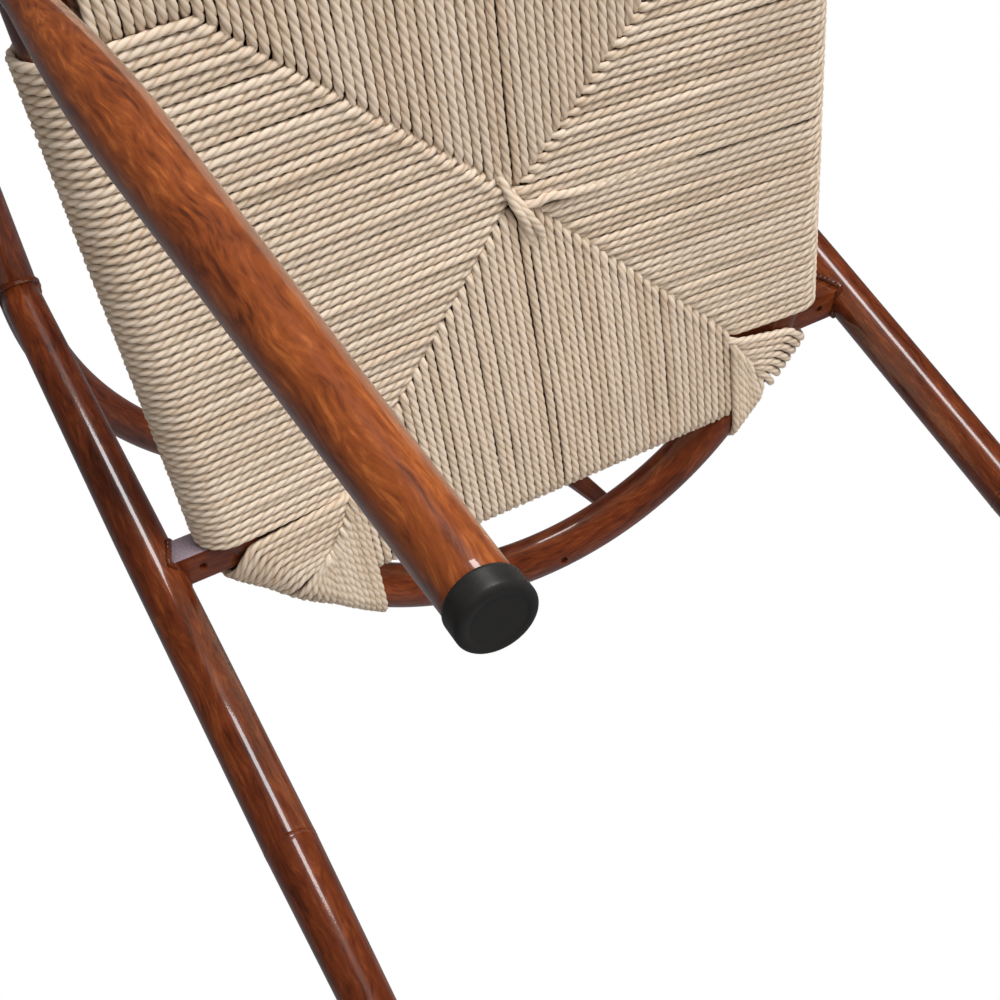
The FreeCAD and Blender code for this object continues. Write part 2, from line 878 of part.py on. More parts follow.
# Side panels, from the front mitre back to the cross rail
side_distance = rear_x + (front_x - rear_x) * centre_y / front_y
mitre_x = rear_x - size("rear_mitre_inset")
mitre_y = size("rear_mitre_ahead")
for word, side in SIDES:
    corners, arcs = wrap_outline(side_distance, wrap_inner, wrap_outer)
    facing = splay_angle if side > 0 else 180 - splay_angle
    side_place = seat_place * weave_centre * Placement(Vector(0, 0, 0), Rotation(Z_AXIS, facing))
    wrap = padded("side_wrap_%s" % word, "XZ_Plane", corners, front_y * 2, side_place, arcs)
    edge = front_x + overrun
    plan = [
        (shift * side, -centre_y),
        ((corner_x + shift) * side, -start_wrap),
        (edge * side, -start_wrap),
        (edge * side, -mitre_y),
        ((mitre_x + shift) * side, -mitre_y),
    ]
    panel_plan = padded("side_plan_%s" % word, "XY_Plane", plan, plan_depth, seat_place)
    keep(common("seat_%s_panel_cut" % word, wrap, panel_plan), "seat_%s_panel" % word)

# Rear panel, over and under the cross rail and round the chord bar
clear_height = cross_half + size("cord_clearance")
corners, arcs = wrap_outline(
    centre_y + chord_y, chord_inner, chord_outer, (centre_y - clear_height, clear_height)
)
rear_place = seat_place * weave_centre * Placement(Vector(0, 0, 0), Rotation(Z_AXIS, 90))
rear_wrap = padded("rear_wrap", "XZ_Plane", corners, front_x * 2, rear_place, arcs)
bow_clear = ring("bow_clear", bow_radius, wrap_inner, bow_room.Placement)
right_x = rear_x - size("right_wrap_inset")
left_x = rear_x - size("left_wrap_inset")
past_chord = chord_y + overrun
rear_plan = padded(
    "rear_plan",
    "XY_Plane",
    [
        (0, -(centre_y - shift)),
        (mitre_x, -(mitre_y - shift)),
        (left_x, chord_y),
        (left_x, past_chord),
        (-right_x, past_chord),
        (-right_x, chord_y),
        (-mitre_x, -(mitre_y - shift)),
    ],
    plan_depth,
    seat_place,
)
rear_field = common("rear_field", rear_wrap, rear_plan)
wound_rooms = []

# Corner panels, behind the cross rail: cord wound round the bend of the hoop
bow_disc = cylinder(
    "bow_disc", bow_radius, plan_depth, seat_place * local(y=bow_middle, z=-plan_depth / 2)
)
chord_clear = cylinder("chord_clear", chord_inner, chord_half * 2, chord_place)


def bow_y(x):
    """How far behind the cross rail the bow's axis lies at a half width."""
    return root(bow_radius * bow_radius - x * x) + bow_middle


def bow_x(y):
    """Half width of the bow's axis at a distance behind the cross rail."""
    drop = y - bow_middle
    return root(bow_radius * bow_radius - drop * drop)


for word, side, wrap_x in (("right", -1, right_x), ("left", 1, left_x)):
    sleeve = cut(
        "sleeve_%s" % word,
        ring("sleeve_outer_%s" % word, bow_radius, wrap_outer, bow_room.Placement),
        bow_clear,
    )
    gusset_y = size("gusset_start_behind")
    # Wedge from the middle of the bow that takes in the wound part of the bend
    stretch = (bow_radius + past) / bow_radius
    sector = padded(
        "sleeve_plan_%s" % word,
        "XY_Plane",
        [
            (0, bow_middle),
            (bow_x(gusset_y) * stretch * side, (gusset_y - bow_middle) * stretch + bow_middle),
            (wrap_x * stretch * side, (bow_y(wrap_x) - bow_middle) * stretch + bow_middle),
        ],
        plan_depth,
        seat_place,
    )
    wound = common("wound_%s" % word, sleeve, sector)
    plan = [
        ((mitre_x + shift) * side, -(mitre_y - shift)),
        (bow_x(-mitre_y) * side, -(mitre_y - shift)),
        ((front_x + overrun) * side, gusset_y),
        ((wrap_x + shift) * side, bow_y(wrap_x) + overrun),
        ((wrap_x + shift) * side, chord_y + shift),
    ]
    sheets = padded("corner_plan_%s" % word, "XY_Plane", plan, wrap_outer * 2, seat_place)
    hollow = padded("corner_hollow_%s" % word, "XY_Plane", plan, wrap_inner * 2, seat_place)
    shell = cut("corner_shell_%s" % word, sheets, hollow)
    shell = common("corner_sheets_%s" % word, shell, bow_disc)
    whole_corner = join("corner_join_%s" % word, wound, shell)
    corner = cut("corner_%s" % word, whole_corner, chord_clear)
    keep(corner, "seat_corner_panel_%s" % word)
    room = ring(
        "sleeve_room_%s" % word,
        bow_radius,
        wrap_outer + size("cord_clearance"),
        bow_room.Placement,
    )
    wound_rooms.append(common("wound_room_%s" % word, room, sector))
keep(cut("seat_rear_panel_cut", rear_field, bow_clear, *wound_rooms), "seat_rear_panel")

doc.recompute()
faults = [
    item.Name
    for item in doc.Objects
    if "Invalid" in item.State or "Error" in item.State
]
if faults:
    raise ValueError("features that failed: %s" % ", ".join(faults))

os.makedirs("parts", exist_ok=True)
whole = FreeCAD.BoundBox()
for label, item in pieces.items():
    shape = item.Shape
    if shape.isNull() or not shape.isValid() or not shape.Solids:
        raise ValueError("%s is not a valid solid" % label)
    shape.exportStep("parts/%s.step" % label)
    whole.add(shape.BoundBox)
    reach_box = shape.BoundBox
    print(
        "%s: %d solid, %.0f mm3, x %.1f to %.1f, y %.1f to %.1f, z %.1f to %.1f"
        % (
            label,
            len(shape.Solids),
            shape.Volume,
            reach_box.XMin,
            reach_box.XMax,
            reach_box.YMin,
            reach_box.YMax,
            reach_box.ZMin,
            reach_box.ZMax,
        )
    )
print("overall", whole)
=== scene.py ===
"""Looks of a dining armchair: grained steel tube, black foot caps and a woven paper cord seat."""

import json
import math

import bpy
import numpy as np
from bpy.props import FloatProperty, FloatVectorProperty, IntProperty, PointerProperty
from mathutils import Matrix

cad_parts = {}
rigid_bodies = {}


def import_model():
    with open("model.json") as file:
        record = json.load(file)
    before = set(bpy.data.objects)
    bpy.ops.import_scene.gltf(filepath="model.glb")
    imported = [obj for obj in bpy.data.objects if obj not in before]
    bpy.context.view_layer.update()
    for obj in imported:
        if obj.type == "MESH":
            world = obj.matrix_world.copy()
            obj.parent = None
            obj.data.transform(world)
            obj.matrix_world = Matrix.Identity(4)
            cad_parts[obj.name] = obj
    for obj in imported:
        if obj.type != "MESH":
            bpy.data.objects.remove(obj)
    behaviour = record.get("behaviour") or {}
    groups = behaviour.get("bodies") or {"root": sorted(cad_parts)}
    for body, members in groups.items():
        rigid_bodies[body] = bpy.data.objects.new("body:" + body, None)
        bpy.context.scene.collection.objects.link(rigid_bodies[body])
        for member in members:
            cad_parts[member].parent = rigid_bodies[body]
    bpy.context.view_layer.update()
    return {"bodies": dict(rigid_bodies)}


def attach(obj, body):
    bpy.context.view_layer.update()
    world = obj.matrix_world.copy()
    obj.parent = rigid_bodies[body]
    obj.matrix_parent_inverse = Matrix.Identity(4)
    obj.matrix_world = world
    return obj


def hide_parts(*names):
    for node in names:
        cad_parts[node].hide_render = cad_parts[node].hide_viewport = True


bl_info = {
    "name": "Cord Seat Armchair",
    "version": (1, 0, 0),
    "blender": (4, 5, 0),
    "location": "3D View > Sidebar > Armchair",
    "description": "Builds a welded tube armchair with a woven paper cord seat",
    "category": "Add Mesh",
}

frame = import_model()

# Lengths are in millimetres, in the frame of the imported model, until a mesh is made.
MM = 0.001

# Radii of tubes, caps and holes
TUBE_R = 14.0
TOP_R = 13.0
CHORD_R = 11.0
TIP_R = 9.75
CAP_R = 10.75
CAP_RIM = 1.6
SHOULDER_R = 11.4
NECK_R = 9.0
POST_TOP_R = 12.0
VENT_R = 2.25
DRAIN_R = 2.0

# Seat frame. Half widths are X, and Y is counted back from the middle of the cross rail.
FRONT_Y = 345.0
FRONT_HALF = 195.0
RAIL_TAPER = 6.0
REAR_HALF = 233.0
CROSS_HALF = 10.0
DRAIN_X = 209.0
CHORD_Y = 42.0
CHORD_HALF = 150.0
BOW_R = 200.0
BOW_Y = -88.0
BEND_R = 60.0
VENT_X = 7.0
SEAT_SLOPE = math.radians(-2.87)

# Legs: heights along them, and half widths at the front feet and the front legs' tops
JOINT_Z = 430.0
RAKE = math.radians(12.85)
LEG_LENGTH = JOINT_Z / math.cos(RAKE)
SEAM = 252.0 / math.cos(RAKE)
FOOT_HALF = 198.0
FOOT_LEAD = 12.0
LEG_TOP_HALF = 205.0
NECK_LENGTH = 63.3
NECK_TAPER = 39.0
SHOULDER_LENGTH = 80.0

# Top rail and back slats
TOP_Z = 664.0
TOP_SLOPE = math.radians(5.14)
BEND_LEAD = 17.1
ARM_LENGTH = 150.0
SLAT_LOW_X = 55.0
SLAT_TOP_X = 60.0
ABOVE_JOINT = (TOP_Z - JOINT_Z - BEND_LEAD * math.sin(TOP_SLOPE)) / math.cos(RAKE)
POST_END = LEG_LENGTH + ABOVE_JOINT
ARC_AHEAD = ABOVE_JOINT * math.sin(RAKE) - BEND_LEAD * math.cos(TOP_SLOPE)
BACK_REACH = REAR_HALF * math.cos(TOP_SLOPE) - ARC_AHEAD + TOP_R
RAIL_Y = (FRONT_Y + FOOT_LEAD + CAP_R - BACK_REACH) / 2

# Weave: radii of the cord's axis round a rail, its height above and below the rails' axes at
# the centre of the weave, that centre, and how far aside and how far along each mitre goes
CORD_R = 2.5
WRAP_R = TUBE_R + 0.3 + CORD_R
CHORD_WRAP_R = CHORD_R + 0.3 + CORD_R
WEAVE_RISE = 6.0
WEAVE_DROP = 4.0
WEAVE_X = 10.0
WEAVE_Y = -153.0
FRONT_MITRE = 144.0
FRONT_MITRE_DEPTH = 146.0
REAR_MITRE = 130.0
REAR_MITRE_DEPTH = 142.4

SIDES = (("right", -1), ("left", 1))


def linear(red, green, blue):
    """Linear colour of a 0 to 255 screen colour: a power curve with a short straight start."""
    c = np.array([red, green, blue], float) / 255
    c = np.where(c <= 0.04045, c / 12.92, ((c + 0.055) / 1.055) ** 2.4)
    return tuple(float(x) for x in c)


def length(name, text, default, low, high):
    """Property for a length in metres."""
    return FloatProperty(
        name=name, description=text, default=default, min=low, max=high, unit="LENGTH"
    )


def shade(name, text, *screen):
    """Property for a colour whose default is a 0 to 255 screen colour."""
    return FloatVectorProperty(
        name=name, description=text, subtype="COLOR", default=linear(*screen), min=0.0, max=1.0
    )


class ArmchairSizes(bpy.types.PropertyGroup):
    """Sizes that a user would change."""

    cord_radius: length(
        "Cord radius", "Half the thickness of the twisted paper cord", 0.00255, 0.002, 0.003
    )
    cord_pitch: length(
        "Cord twist", "Length in which a ply goes once round the cord", 0.0206, 0.01, 0.04
    )
    cord_step: length("Cord step", "Spacing of the rings along a cord", 0.0024, 0.001, 0.006)
    weld_radius: length("Weld radius", "Half the thickness of a weld bead", 0.0019, 0.001, 0.003)
    ring_sides: IntProperty(
        name="Tube sides", description="Faces round a tube", default=56, min=16, max=96
    )


class ArmchairColours(bpy.types.PropertyGroup):
    """Colours that a user would change."""

    grain_dark: shade("Grain, dark", "Dark streaks of the grained lacquer", 60, 23, 11)
    grain_middle: shade("Grain, middle", "Main colour of the grained lacquer", 95, 42, 18)
    grain_light: shade("Grain, light", "Light streaks of the grained lacquer", 124, 62, 29)
    cord: shade("Paper cord", "Colour of the paper cord", 223, 208, 191)
    # Darker cord colour: painted shade in the grooves between the plies, and the darker side of the
    # cord's random tone
    cord_tone_and_painted_shade: shade(
        "Paper cord, grooves", "Colour in the grooves between the plies", 184, 157, 127
    )
    rubber: shade("Foot caps", "Colour of the foot caps", 30, 30, 29)


# Places and directions


def tilt(points, slope, origin=(0, 0, 0)):
    """Turns points about the X axis by a slope, then moves them to an origin."""
    p = np.asarray(points, float)
    c, s = math.cos(slope), math.sin(slope)
    turned = np.stack([p[..., 0], p[..., 1] * c - p[..., 2] * s, p[..., 1] * s + p[..., 2] * c], -1)
    return turned + np.asarray(origin, float)


def in_seat(points):
    """From the sloping plane of the seat frame to the chair's frame."""
    return tilt(points, SEAT_SLOPE, (0, RAIL_Y, JOINT_Z))


def in_top(points):
    """From the sloping plane of the top rail to the chair's frame."""
    return tilt(points, TOP_SLOPE, (0, RAIL_Y - ARC_AHEAD, TOP_Z))


def unit(v):
    """Vectors divided by their lengths."""
    v = np.asarray(v, float)
    return v / np.linalg.norm(v, axis=-1, keepdims=True)


def stacked(*parts):
    """Points from one array or number for each coordinate."""
    return np.stack(np.broadcast_arrays(*parts), -1).astype(float)


def level(points):
    """Points of a plane with a third coordinate of zero."""
    return np.column_stack([points, np.zeros(len(points))])


X_AXIS = np.array([1.0, 0.0, 0.0])
SEAT_UP = tilt((0, 0, 1), SEAT_SLOPE)
TOP_UP = tilt((0, 0, 1), TOP_SLOPE)
ARM_BACK = tilt((0, 1, 0), TOP_SLOPE)
REAR_UP = np.array([0.0, -math.sin(RAKE), math.cos(RAKE)])
BOW_CENTRE = np.array([0.0, BOW_Y])


def rear_foot(side):
    return np.array([side * REAR_HALF, RAIL_Y, JOINT_Z]) - REAR_UP * LEG_LENGTH


def front_foot(side):
    return np.array([side * FOOT_HALF, RAIL_Y - FRONT_Y - FOOT_LEAD, 0.0])


def front_joint(side):
    return in_seat((side * LEG_TOP_HALF, -FRONT_Y, 0.0))


def front_up(side):
    return unit(front_joint(side) - front_foot(side))


def side_x(y):
    """Half width between the side rail axes at a distance behind the cross rail."""
    return FRONT_HALF - RAIL_TAPER - RAIL_TAPER * y / FRONT_Y


def bow_y(x):
    """How far behind the cross rail the bow's axis is at a half width."""
    return BOW_Y + math.sqrt(BOW_R**2 - x**2)


def slat_ends(side):
    """Where the middle line of a slat meets the bow and the top rail."""
    low = in_seat((side * SLAT_LOW_X, bow_y(SLAT_LOW_X), 0.0))
    high = in_top((side * SLAT_TOP_X, math.sqrt(REAR_HALF**2 - SLAT_TOP_X**2), 0.0))
    return low, high


# Meshes


def make_piece(name, points, faces, material, stands_for=(), ends=(), layers=None):
    """Object with a mesh of quads and end faces, placed in its mesh, riding on the chair."""
    mesh = bpy.data.meshes.new(name)
    quads = np.asarray(faces, np.int32)
    corners = np.concatenate([quads.ravel(), *ends]).astype(np.int32)
    totals = np.concatenate([np.full(len(quads), 4), [len(e) for e in ends]]).astype(np.int32)
    mesh.vertices.add(len(points))
    mesh.vertices.foreach_set("co", (np.asarray(points) * MM).astype(np.float32).ravel())
    mesh.loops.add(len(corners))
    mesh.loops.foreach_set("vertex_index", corners)
    mesh.polygons.add(len(totals))
    mesh.polygons.foreach_set("loop_start", (np.cumsum(totals) - totals).astype(np.int32))
    mesh.polygons.foreach_set("use_smooth", np.arange(len(totals)) < len(quads))
    for label, values in (layers or {}).items():
        values = np.asarray(values, np.float32)
        kind = "FLOAT_VECTOR" if values.ndim == 2 else "FLOAT"
        layer = mesh.attributes.new(label, kind, "POINT")
        layer.data.foreach_set("vector" if values.ndim == 2 else "value", values.ravel())
    mesh.update(calc_edges=True)
    mesh.validate()
    piece = bpy.data.objects.new(name, mesh)
    bpy.context.scene.collection.objects.link(piece)
    mesh.materials.append(material)
    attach(piece, list(frame["bodies"])[0])
    if stands_for:
        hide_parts(*stands_for)


def band_faces(first, after, columns):
    """Quads between pairs of rings whose columns close on themselves."""
    j = np.arange(columns)
    beside = (j + 1) % columns
    first, after = first[:, None] * columns, after[:, None] * columns
    return np.stack([first + j, first + beside, after + beside, after + j], -1).reshape(-1, 4)


def ring_faces(rows, columns, closed=False):
    """Quads between all neighbouring rings of a grid."""
    first = np.arange(rows if closed else rows - 1)
    return band_faces(first, (first + 1) % rows, columns)


def ring_piece(name, grid, material, stands_for, layers=None, closed=False):
    """Piece from a grid of rings that is closed on itself or has flat ends."""
    rows, columns = grid.shape[:2]
    ring = np.arange(columns)
    ends = () if closed else (ring[::-1], (rows - 1) * columns + ring)
    faces = ring_faces(rows, columns, closed)
    make_piece(name, grid.reshape(-1, 3), faces, material, stands_for, ends, layers)


def tube_piece(name, path, grid, outline, material, stands_for, offset):
    """Lacquered tube along an open path, with grain coordinates."""
    layers = {"grain": grain_layer(outline, lengths_along(path), offset)}
    ring_piece(name, grid, material, stands_for, layers)


def grain_layer(outline, along, offset):
    """Grain coordinates in metres: length along the tube, then the outline's own place."""
    flat = np.broadcast_to(outline, (len(along),) + outline.shape[1:])
    return stacked(along[:, None], flat[..., 0], flat[..., 1]).reshape(-1, 3) * MM + offset


def tangents(path, closed=False):
    """Unit difference of the points either side of each point."""
    if closed:
        return unit(np.roll(path, -1, 0) - np.roll(path, 1, 0))
    return unit(np.gradient(path, axis=0))


def lengths_along(path):
    """Running length along a path of points."""
    steps = np.linalg.norm(np.diff(path, axis=0), axis=1)
    return np.concatenate([[0.0], np.cumsum(steps)])


def carried(path, side, outline, closed=False):
    """An outline carried along a path: point = place + a * side + b * (tangent x side),
    where a and b are the outline's own coordinates."""
    along = tangents(path, closed)
    side = unit(side - (side * along).sum(-1, keepdims=True) * along)
    up = np.cross(along, side)
    a = outline[..., 0, None]
    b = outline[..., 1, None]
    return path[:, None] + a * side[:, None] + b * up[:, None]


def circle(radius, angles):
    """Points radius * (cos t, sin t), one row for each radius. A whole number stands for so
    many angles evenly round."""
    t = np.arange(angles) * 2 * math.pi / angles if isinstance(angles, int) else angles
    r = np.atleast_1d(np.asarray(radius, float))[:, None]
    return np.stack([r * np.cos(t), r * np.sin(t)], -1)


def spokes(axis, count):
    """Unit vectors square to an axis: cos t * u + sin t * v, evenly round it."""
    u = unit(X_AXIS - axis[0] * axis)
    return circle(1.0, count)[0] @ np.array([u, np.cross(axis, u)])


def rounded_box(half_width, half_height, radius, per_corner, second_edge=()):
    """Outline of a rectangle with round corners: corner centres plus radius * (cos, sin)."""
    rows = []
    for k, (sx, sy) in enumerate(((1, 1), (-1, 1), (-1, -1), (1, -1))):
        angles = np.linspace(0, math.pi / 2, per_corner) + k * math.pi / 2
        centre = np.array([sx * (half_width - radius), sy * (half_height - radius)])
        rows.append(centre + circle(radius, angles)[0])
        if k == 1:
            rows.extend(second_edge)
    return np.concatenate(rows)


def saddle(joint, member, tube, radius, loop):
    """Where lines along a member meet a round tube: each point of the loop, given from the
    joint, moves back along the member until its distance from the tube's axis is the radius."""
    a = member - (member @ tube) * tube
    b = loop - (loop @ tube)[:, None] * tube
    aa = a @ a
    ab = b @ a
    t = (ab + np.sqrt(ab * ab - aa * ((b * b).sum(1) - radius * radius))) / aa
    return joint + loop - t[:, None] * member


# Materials


class Net:
    """A node tree with short ways to fill it."""

    def __init__(self, tree):
        self.nodes = tree.nodes
        self.links = tree.links
        self.nodes.clear()

    def put(self, node, inputs):
        """Links or sets a node's inputs, which are given by name or number."""
        for key, value in inputs.items():
            socket = node.inputs[key]
            if hasattr(value, "is_output"):
                self.links.new(value, socket)
            elif socket.type == "RGBA":
                socket.default_value = (*value[:3], 1.0)
            else:
                socket.default_value = value

    def add(self, kind, inputs=None, **settings):
        """New node with its settings and inputs."""
        node = self.nodes.new("ShaderNode" + kind)
        for label, value in settings.items():
            setattr(node, label, value)
        self.put(node, inputs or {})
        return node

    def calc(self, operation, first, second, clamp=False):
        inputs = {0: first, 1: second}
        return self.add("Math", inputs, operation=operation, use_clamp=clamp).outputs[0]

    def noise(self, vector, scale, detail, roughness, output="Fac"):
        """Noise, stretched where there is a scale for each axis."""
        if isinstance(scale, tuple):
            stretch = {0: vector, 1: scale}
            vector = self.add("VectorMath", stretch, operation="MULTIPLY").outputs[0]
            scale = 1
        inputs = {"Vector": vector, "Scale": scale, "Detail": detail, "Roughness": roughness}
        return self.add("TexNoise", inputs).outputs[output]

    def mix(self, factor, first, second):
        """Mix of two colours."""
        return self.add("Mix", {0: factor, 6: first, 7: second}, data_type="RGBA").outputs[2]

    def remap(self, value, start, stop, low=0.0, high=1.0, kind="SMOOTHSTEP"):
        """From low at the start value to high at the stop value."""
        inputs = {"Value": value, "From Min": start, "From Max": stop}
        inputs.update({"To Min": low, "To Max": high})
        return self.add("MapRange", inputs, interpolation_type=kind).outputs["Result"]

    def bump(self, height, strength, distance):
        inputs = {"Height": height, "Strength": strength, "Distance": distance}
        return self.add("Bump", inputs).outputs["Normal"]

    def attribute(self, name, output):
        return self.add("Attribute", attribute_name=name).outputs[output]

    def place(self):
        """Object coordinates."""
        return self.add("TexCoord").outputs["Object"]

    def either(self, mask, first, second, kind="OutputMaterial"):
        """Ends the tree with the second shader where the mask is 1 and the first elsewhere."""
        inputs = {0: mask, 1: first.outputs[0], 2: second.outputs[0]}
        self.add(kind, {"Surface": self.add("MixShader", inputs).outputs[0]})


def new_material(name):
    """Material with a principled shader: its tree and the shader."""
    material = bpy.data.materials.new(name)
    material.use_nodes = True
    net = Net(material.node_tree)
    shader = net.add("BsdfPrincipled")
    net.add("OutputMaterial", {"Surface": shader.outputs["BSDF"]})
    return net, shader


def new_group(name, inputs, outputs):
    """Shader group with named sockets: the group, its tree, what goes in and its end."""
    group = bpy.data.node_groups.new(name, "ShaderNodeTree")
    for way, sockets in (("INPUT", inputs), ("OUTPUT", outputs)):
        for label, kind in sockets.items():
            group.interface.new_socket(label, in_out=way, socket_type="NodeSocket" + kind)
    net = Net(group)
    start = net.nodes.new("NodeGroupInput")
    return group, net, start.outputs, net.nodes.new("NodeGroupOutput")


def grain_group():
    """Wood-grain print: long streaks bent by a slow drift, with fine pores over them."""
    group, net, start, end = new_group(
        "wood_grain",
        dict(Vector="Vector", Dark="Color", Middle="Color", Light="Color"),
        dict(Color="Color", Roughness="Float", Height="Float"),
    )
    place = start["Vector"]
    slow = net.noise(place, (17, 48, 48), 2, 0.5, "Color")
    drift = {0: slow, 1: (0.0, 0.017, 0.017), 2: place}
    bent = net.add("VectorMath", drift, operation="MULTIPLY_ADD").outputs[0]
    broad = net.noise(bent, (19, 105, 105), 3, 0.6)
    fine = net.noise(bent, (62, 560, 560), 4, 0.6)
    pores = net.noise(bent, (130, 1900, 1900), 2, 0.5)
    cloud = net.noise(place, (16, 26, 26), 2, 0.5)
    blend = net.calc("MULTIPLY", broad, 0.38)
    blend = net.calc("ADD", blend, net.calc("MULTIPLY", fine, 0.44))
    blend = net.calc("ADD", blend, net.calc("MULTIPLY", cloud, 0.18))
    tone = net.calc("MULTIPLY", net.calc("SUBTRACT", blend, 0.372), 4.0, True)
    colour = net.mix(net.remap(tone, 0.0, 0.55), start["Dark"], start["Middle"])
    colour = net.mix(net.remap(tone, 0.5, 1.0), colour, start["Light"])
    pore = net.remap(pores, 0.58, 0.72, 0.0, 0.3, "LINEAR")
    colour = net.mix(pore, colour, start["Dark"])
    rough = net.calc("ADD", net.calc("MULTIPLY", fine, 0.16), 0.24)
    net.put(end, {"Color": colour, "Roughness": rough, "Height": blend})
    return group


def fibre_group():
    """Fine lines along the plies, slow cloudy change and painted shade in the grooves between the
    plies, for twisted paper.
    """
    group, net, start, end = new_group(
        "paper_fibre",
        dict(Vector="Vector", Groove="Float", Tone="Float", Light="Color", Shade="Color"),
        dict(Color="Color", Height="Float"),
    )
    line = net.noise(start["Vector"], (190, 2600, 1), 3, 0.6)
    cloud = net.noise(start["Vector"], (55, 300, 1), 2, 0.5)
    fold = net.calc("MULTIPLY", line, 0.5)
    spread = net.calc("MULTIPLY", net.calc("SUBTRACT", start["Tone"], 0.5), 0.34)
    # Painted shade: where Groove is 1, in the grooves between the plies, the colour goes towards
    # Shade
    dark = net.calc("ADD", net.calc("MULTIPLY", start["Groove"], 0.72), spread)
    soft = net.calc("MULTIPLY", net.calc("SUBTRACT", cloud, 0.45), 0.5)
    dark = net.calc("ADD", dark, soft)
    dark = net.calc("ADD", dark, net.calc("SUBTRACT", fold, 0.2), True)
    colour = net.mix(dark, start["Light"], start["Shade"])
    net.put(end, {"Color": colour, "Height": fold})
    return group


def painted_reflection_patch(net, place, colour):
    """Painted reflection of a bright light: a speckled lilac-grey gleam painted on the front face
    of the cross rail, in its right half: there the grain coordinates hold x below 6.3 + 0.226
    and z above 1.1 + 0.0096."""
    part = net.add("SeparateXYZ", {0: place}).outputs
    front = net.calc("GREATER_THAN", part["Z"], 1.1096)
    right = net.calc("LESS_THAN", part["X"], 6.526)
    speck = net.noise(place, 900, 2, 0.6)
    # Colours of the painted reflection, from dim lilac grey to bright lilac grey
    painted_reflection = net.mix(speck, linear(96, 78, 88), linear(196, 186, 202))
    factor = net.calc("MULTIPLY", net.calc("MULTIPLY", front, right), 0.8)
    return net.mix(factor, colour, painted_reflection)


def lacquer_material(name, group, colours, darker=0.0, gain=(1, 1, 1), peel=0.03, with_painted_reflection=False):
    """Glossy wood-grain lacquer over steel, with some orange peel and a gain on its colours; a gain
    above one makes a lighter copy of the lacquer, which is painted light.
    """
    net, shader = new_material(name)
    layer = net.attribute("grain", "Vector")
    shades = {
        word: tuple(np.multiply(getattr(colours, "grain_" + word.lower()), gain))
        for word in ("Dark", "Middle", "Light")
    }
    grain = net.add("Group", {"Vector": layer, **shades}, node_tree=group).outputs
    colour = grain["Color"]
    # Paints the reflection of a bright light on the cross rail's front face into the colour
    if with_painted_reflection:
        colour = painted_reflection_patch(net, layer, colour)
    if darker:
        colour = net.mix(darker, colour, shades["Dark"])
    skin = net.noise(net.place(), 950, 2, 0.5)
    inputs = {
        "Base Color": colour,
        "Roughness": grain["Roughness"],
        "Normal": net.bump(grain["Height"], 0.12, 0.0004),
        "Specular IOR Level": 0.35,
        "Coat Weight": 1.0,
        "Coat Roughness": 0.06,
        "Coat IOR": 1.5,
        "Coat Normal": net.bump(skin, peel, 0.0005),
    }
    net.put(shader, inputs)


def rubber_material(colours):
    """Moulded black cap: satin, with a fine grain."""
    net, shader = new_material("moulded_cap")
    place = net.place()
    speck = net.noise(place, 1400, 3, 0.6)
    cloud = net.noise(place, 160, 2, 0.5)
    inputs = {
        "Base Color": net.mix(cloud, tuple(colours.rubber), linear(44, 43, 42)),
        "Roughness": net.calc("ADD", net.calc("MULTIPLY", cloud, 0.2), 0.32),
        "Normal": net.bump(speck, 0.18, 0.0002),
        "Specular IOR Level": 0.5,
    }
    net.put(shader, inputs)


def cord_material(colours):
    """Twisted paper cord: matt, with painted shade that darkens the grooves between the plies."""
    net, shader = new_material("twisted_paper_cord")
    inputs = {
        "Vector": net.attribute("lay", "Vector"),
        "Groove": net.attribute("groove", "Fac"),
        "Tone": net.attribute("tone", "Fac"),
        "Light": tuple(colours.cord),
        "Shade": tuple(colours.cord_tone_and_painted_shade),
    }
    fibre = net.add("Group", inputs, node_tree=fibre_group()).outputs
    inputs = {
        "Base Color": fibre["Color"],
        "Roughness": 0.72,
        "Normal": net.bump(fibre["Height"], 0.35, 0.0004),
        "Specular IOR Level": 0.25,
    }
    net.put(shader, inputs)


def card_material():
    """Rough brown kraft card."""
    net, shader = new_material("kraft_card")
    fleck = net.noise(net.place(), 420, 4, 0.65)
    inputs = {
        "Base Color": net.mix(fleck, linear(70, 46, 30), linear(112, 80, 54)),
        "Roughness": 0.85,
        "Normal": net.bump(fleck, 0.3, 0.0003),
    }
    net.put(shader, inputs)


def materials():
    """The chair's materials, made once."""
    found = bpy.data.materials
    if "grained_lacquer" not in found:
        colours = bpy.context.scene.armchair_colours
        grain = grain_group()
        lacquer_material("grained_lacquer", grain, colours)
        # Painted light: the front legs get a copy of the lacquer about twice as light, standing in
        # for the stronger light that falls on them
        lacquer_material("grained_lacquer_painted_light", grain, colours, gain=(1.95, 2.35, 2.25))
        # The cross rail's lacquer carries a painted reflection on its front face
        lacquer_material("grained_lacquer_cross", grain, colours, peel=0.05, with_painted_reflection=True)
        lacquer_material("grained_lacquer_weld", grain, colours, 0.45, peel=0.3)
        rubber_material(colours)
        card_material()
        cord_material(colours)
    return found


# Steel


def front_radius(s):
    """Radius of a front leg: straight taper to the swell, a parabola to the shoulder, a
    straight run to the neck, then level."""
    neck = JOINT_Z + FRONT_Y * math.sin(-SEAT_SLOPE) - NECK_LENGTH
    shoulder = neck - NECK_TAPER
    swell = shoulder - SHOULDER_LENGTH
    t = np.clip((s - swell) / (shoulder - swell), 0, 1)
    curved = TUBE_R - (TUBE_R - SHOULDER_R) * t * t
    low = TIP_R + (TUBE_R - TIP_R) * s / swell
    high = SHOULDER_R + (NECK_R - SHOULDER_R) * (s - shoulder) / (neck - shoulder)
    return np.where(s < swell, low, np.where(s < shoulder, curved, np.maximum(high, NECK_R)))


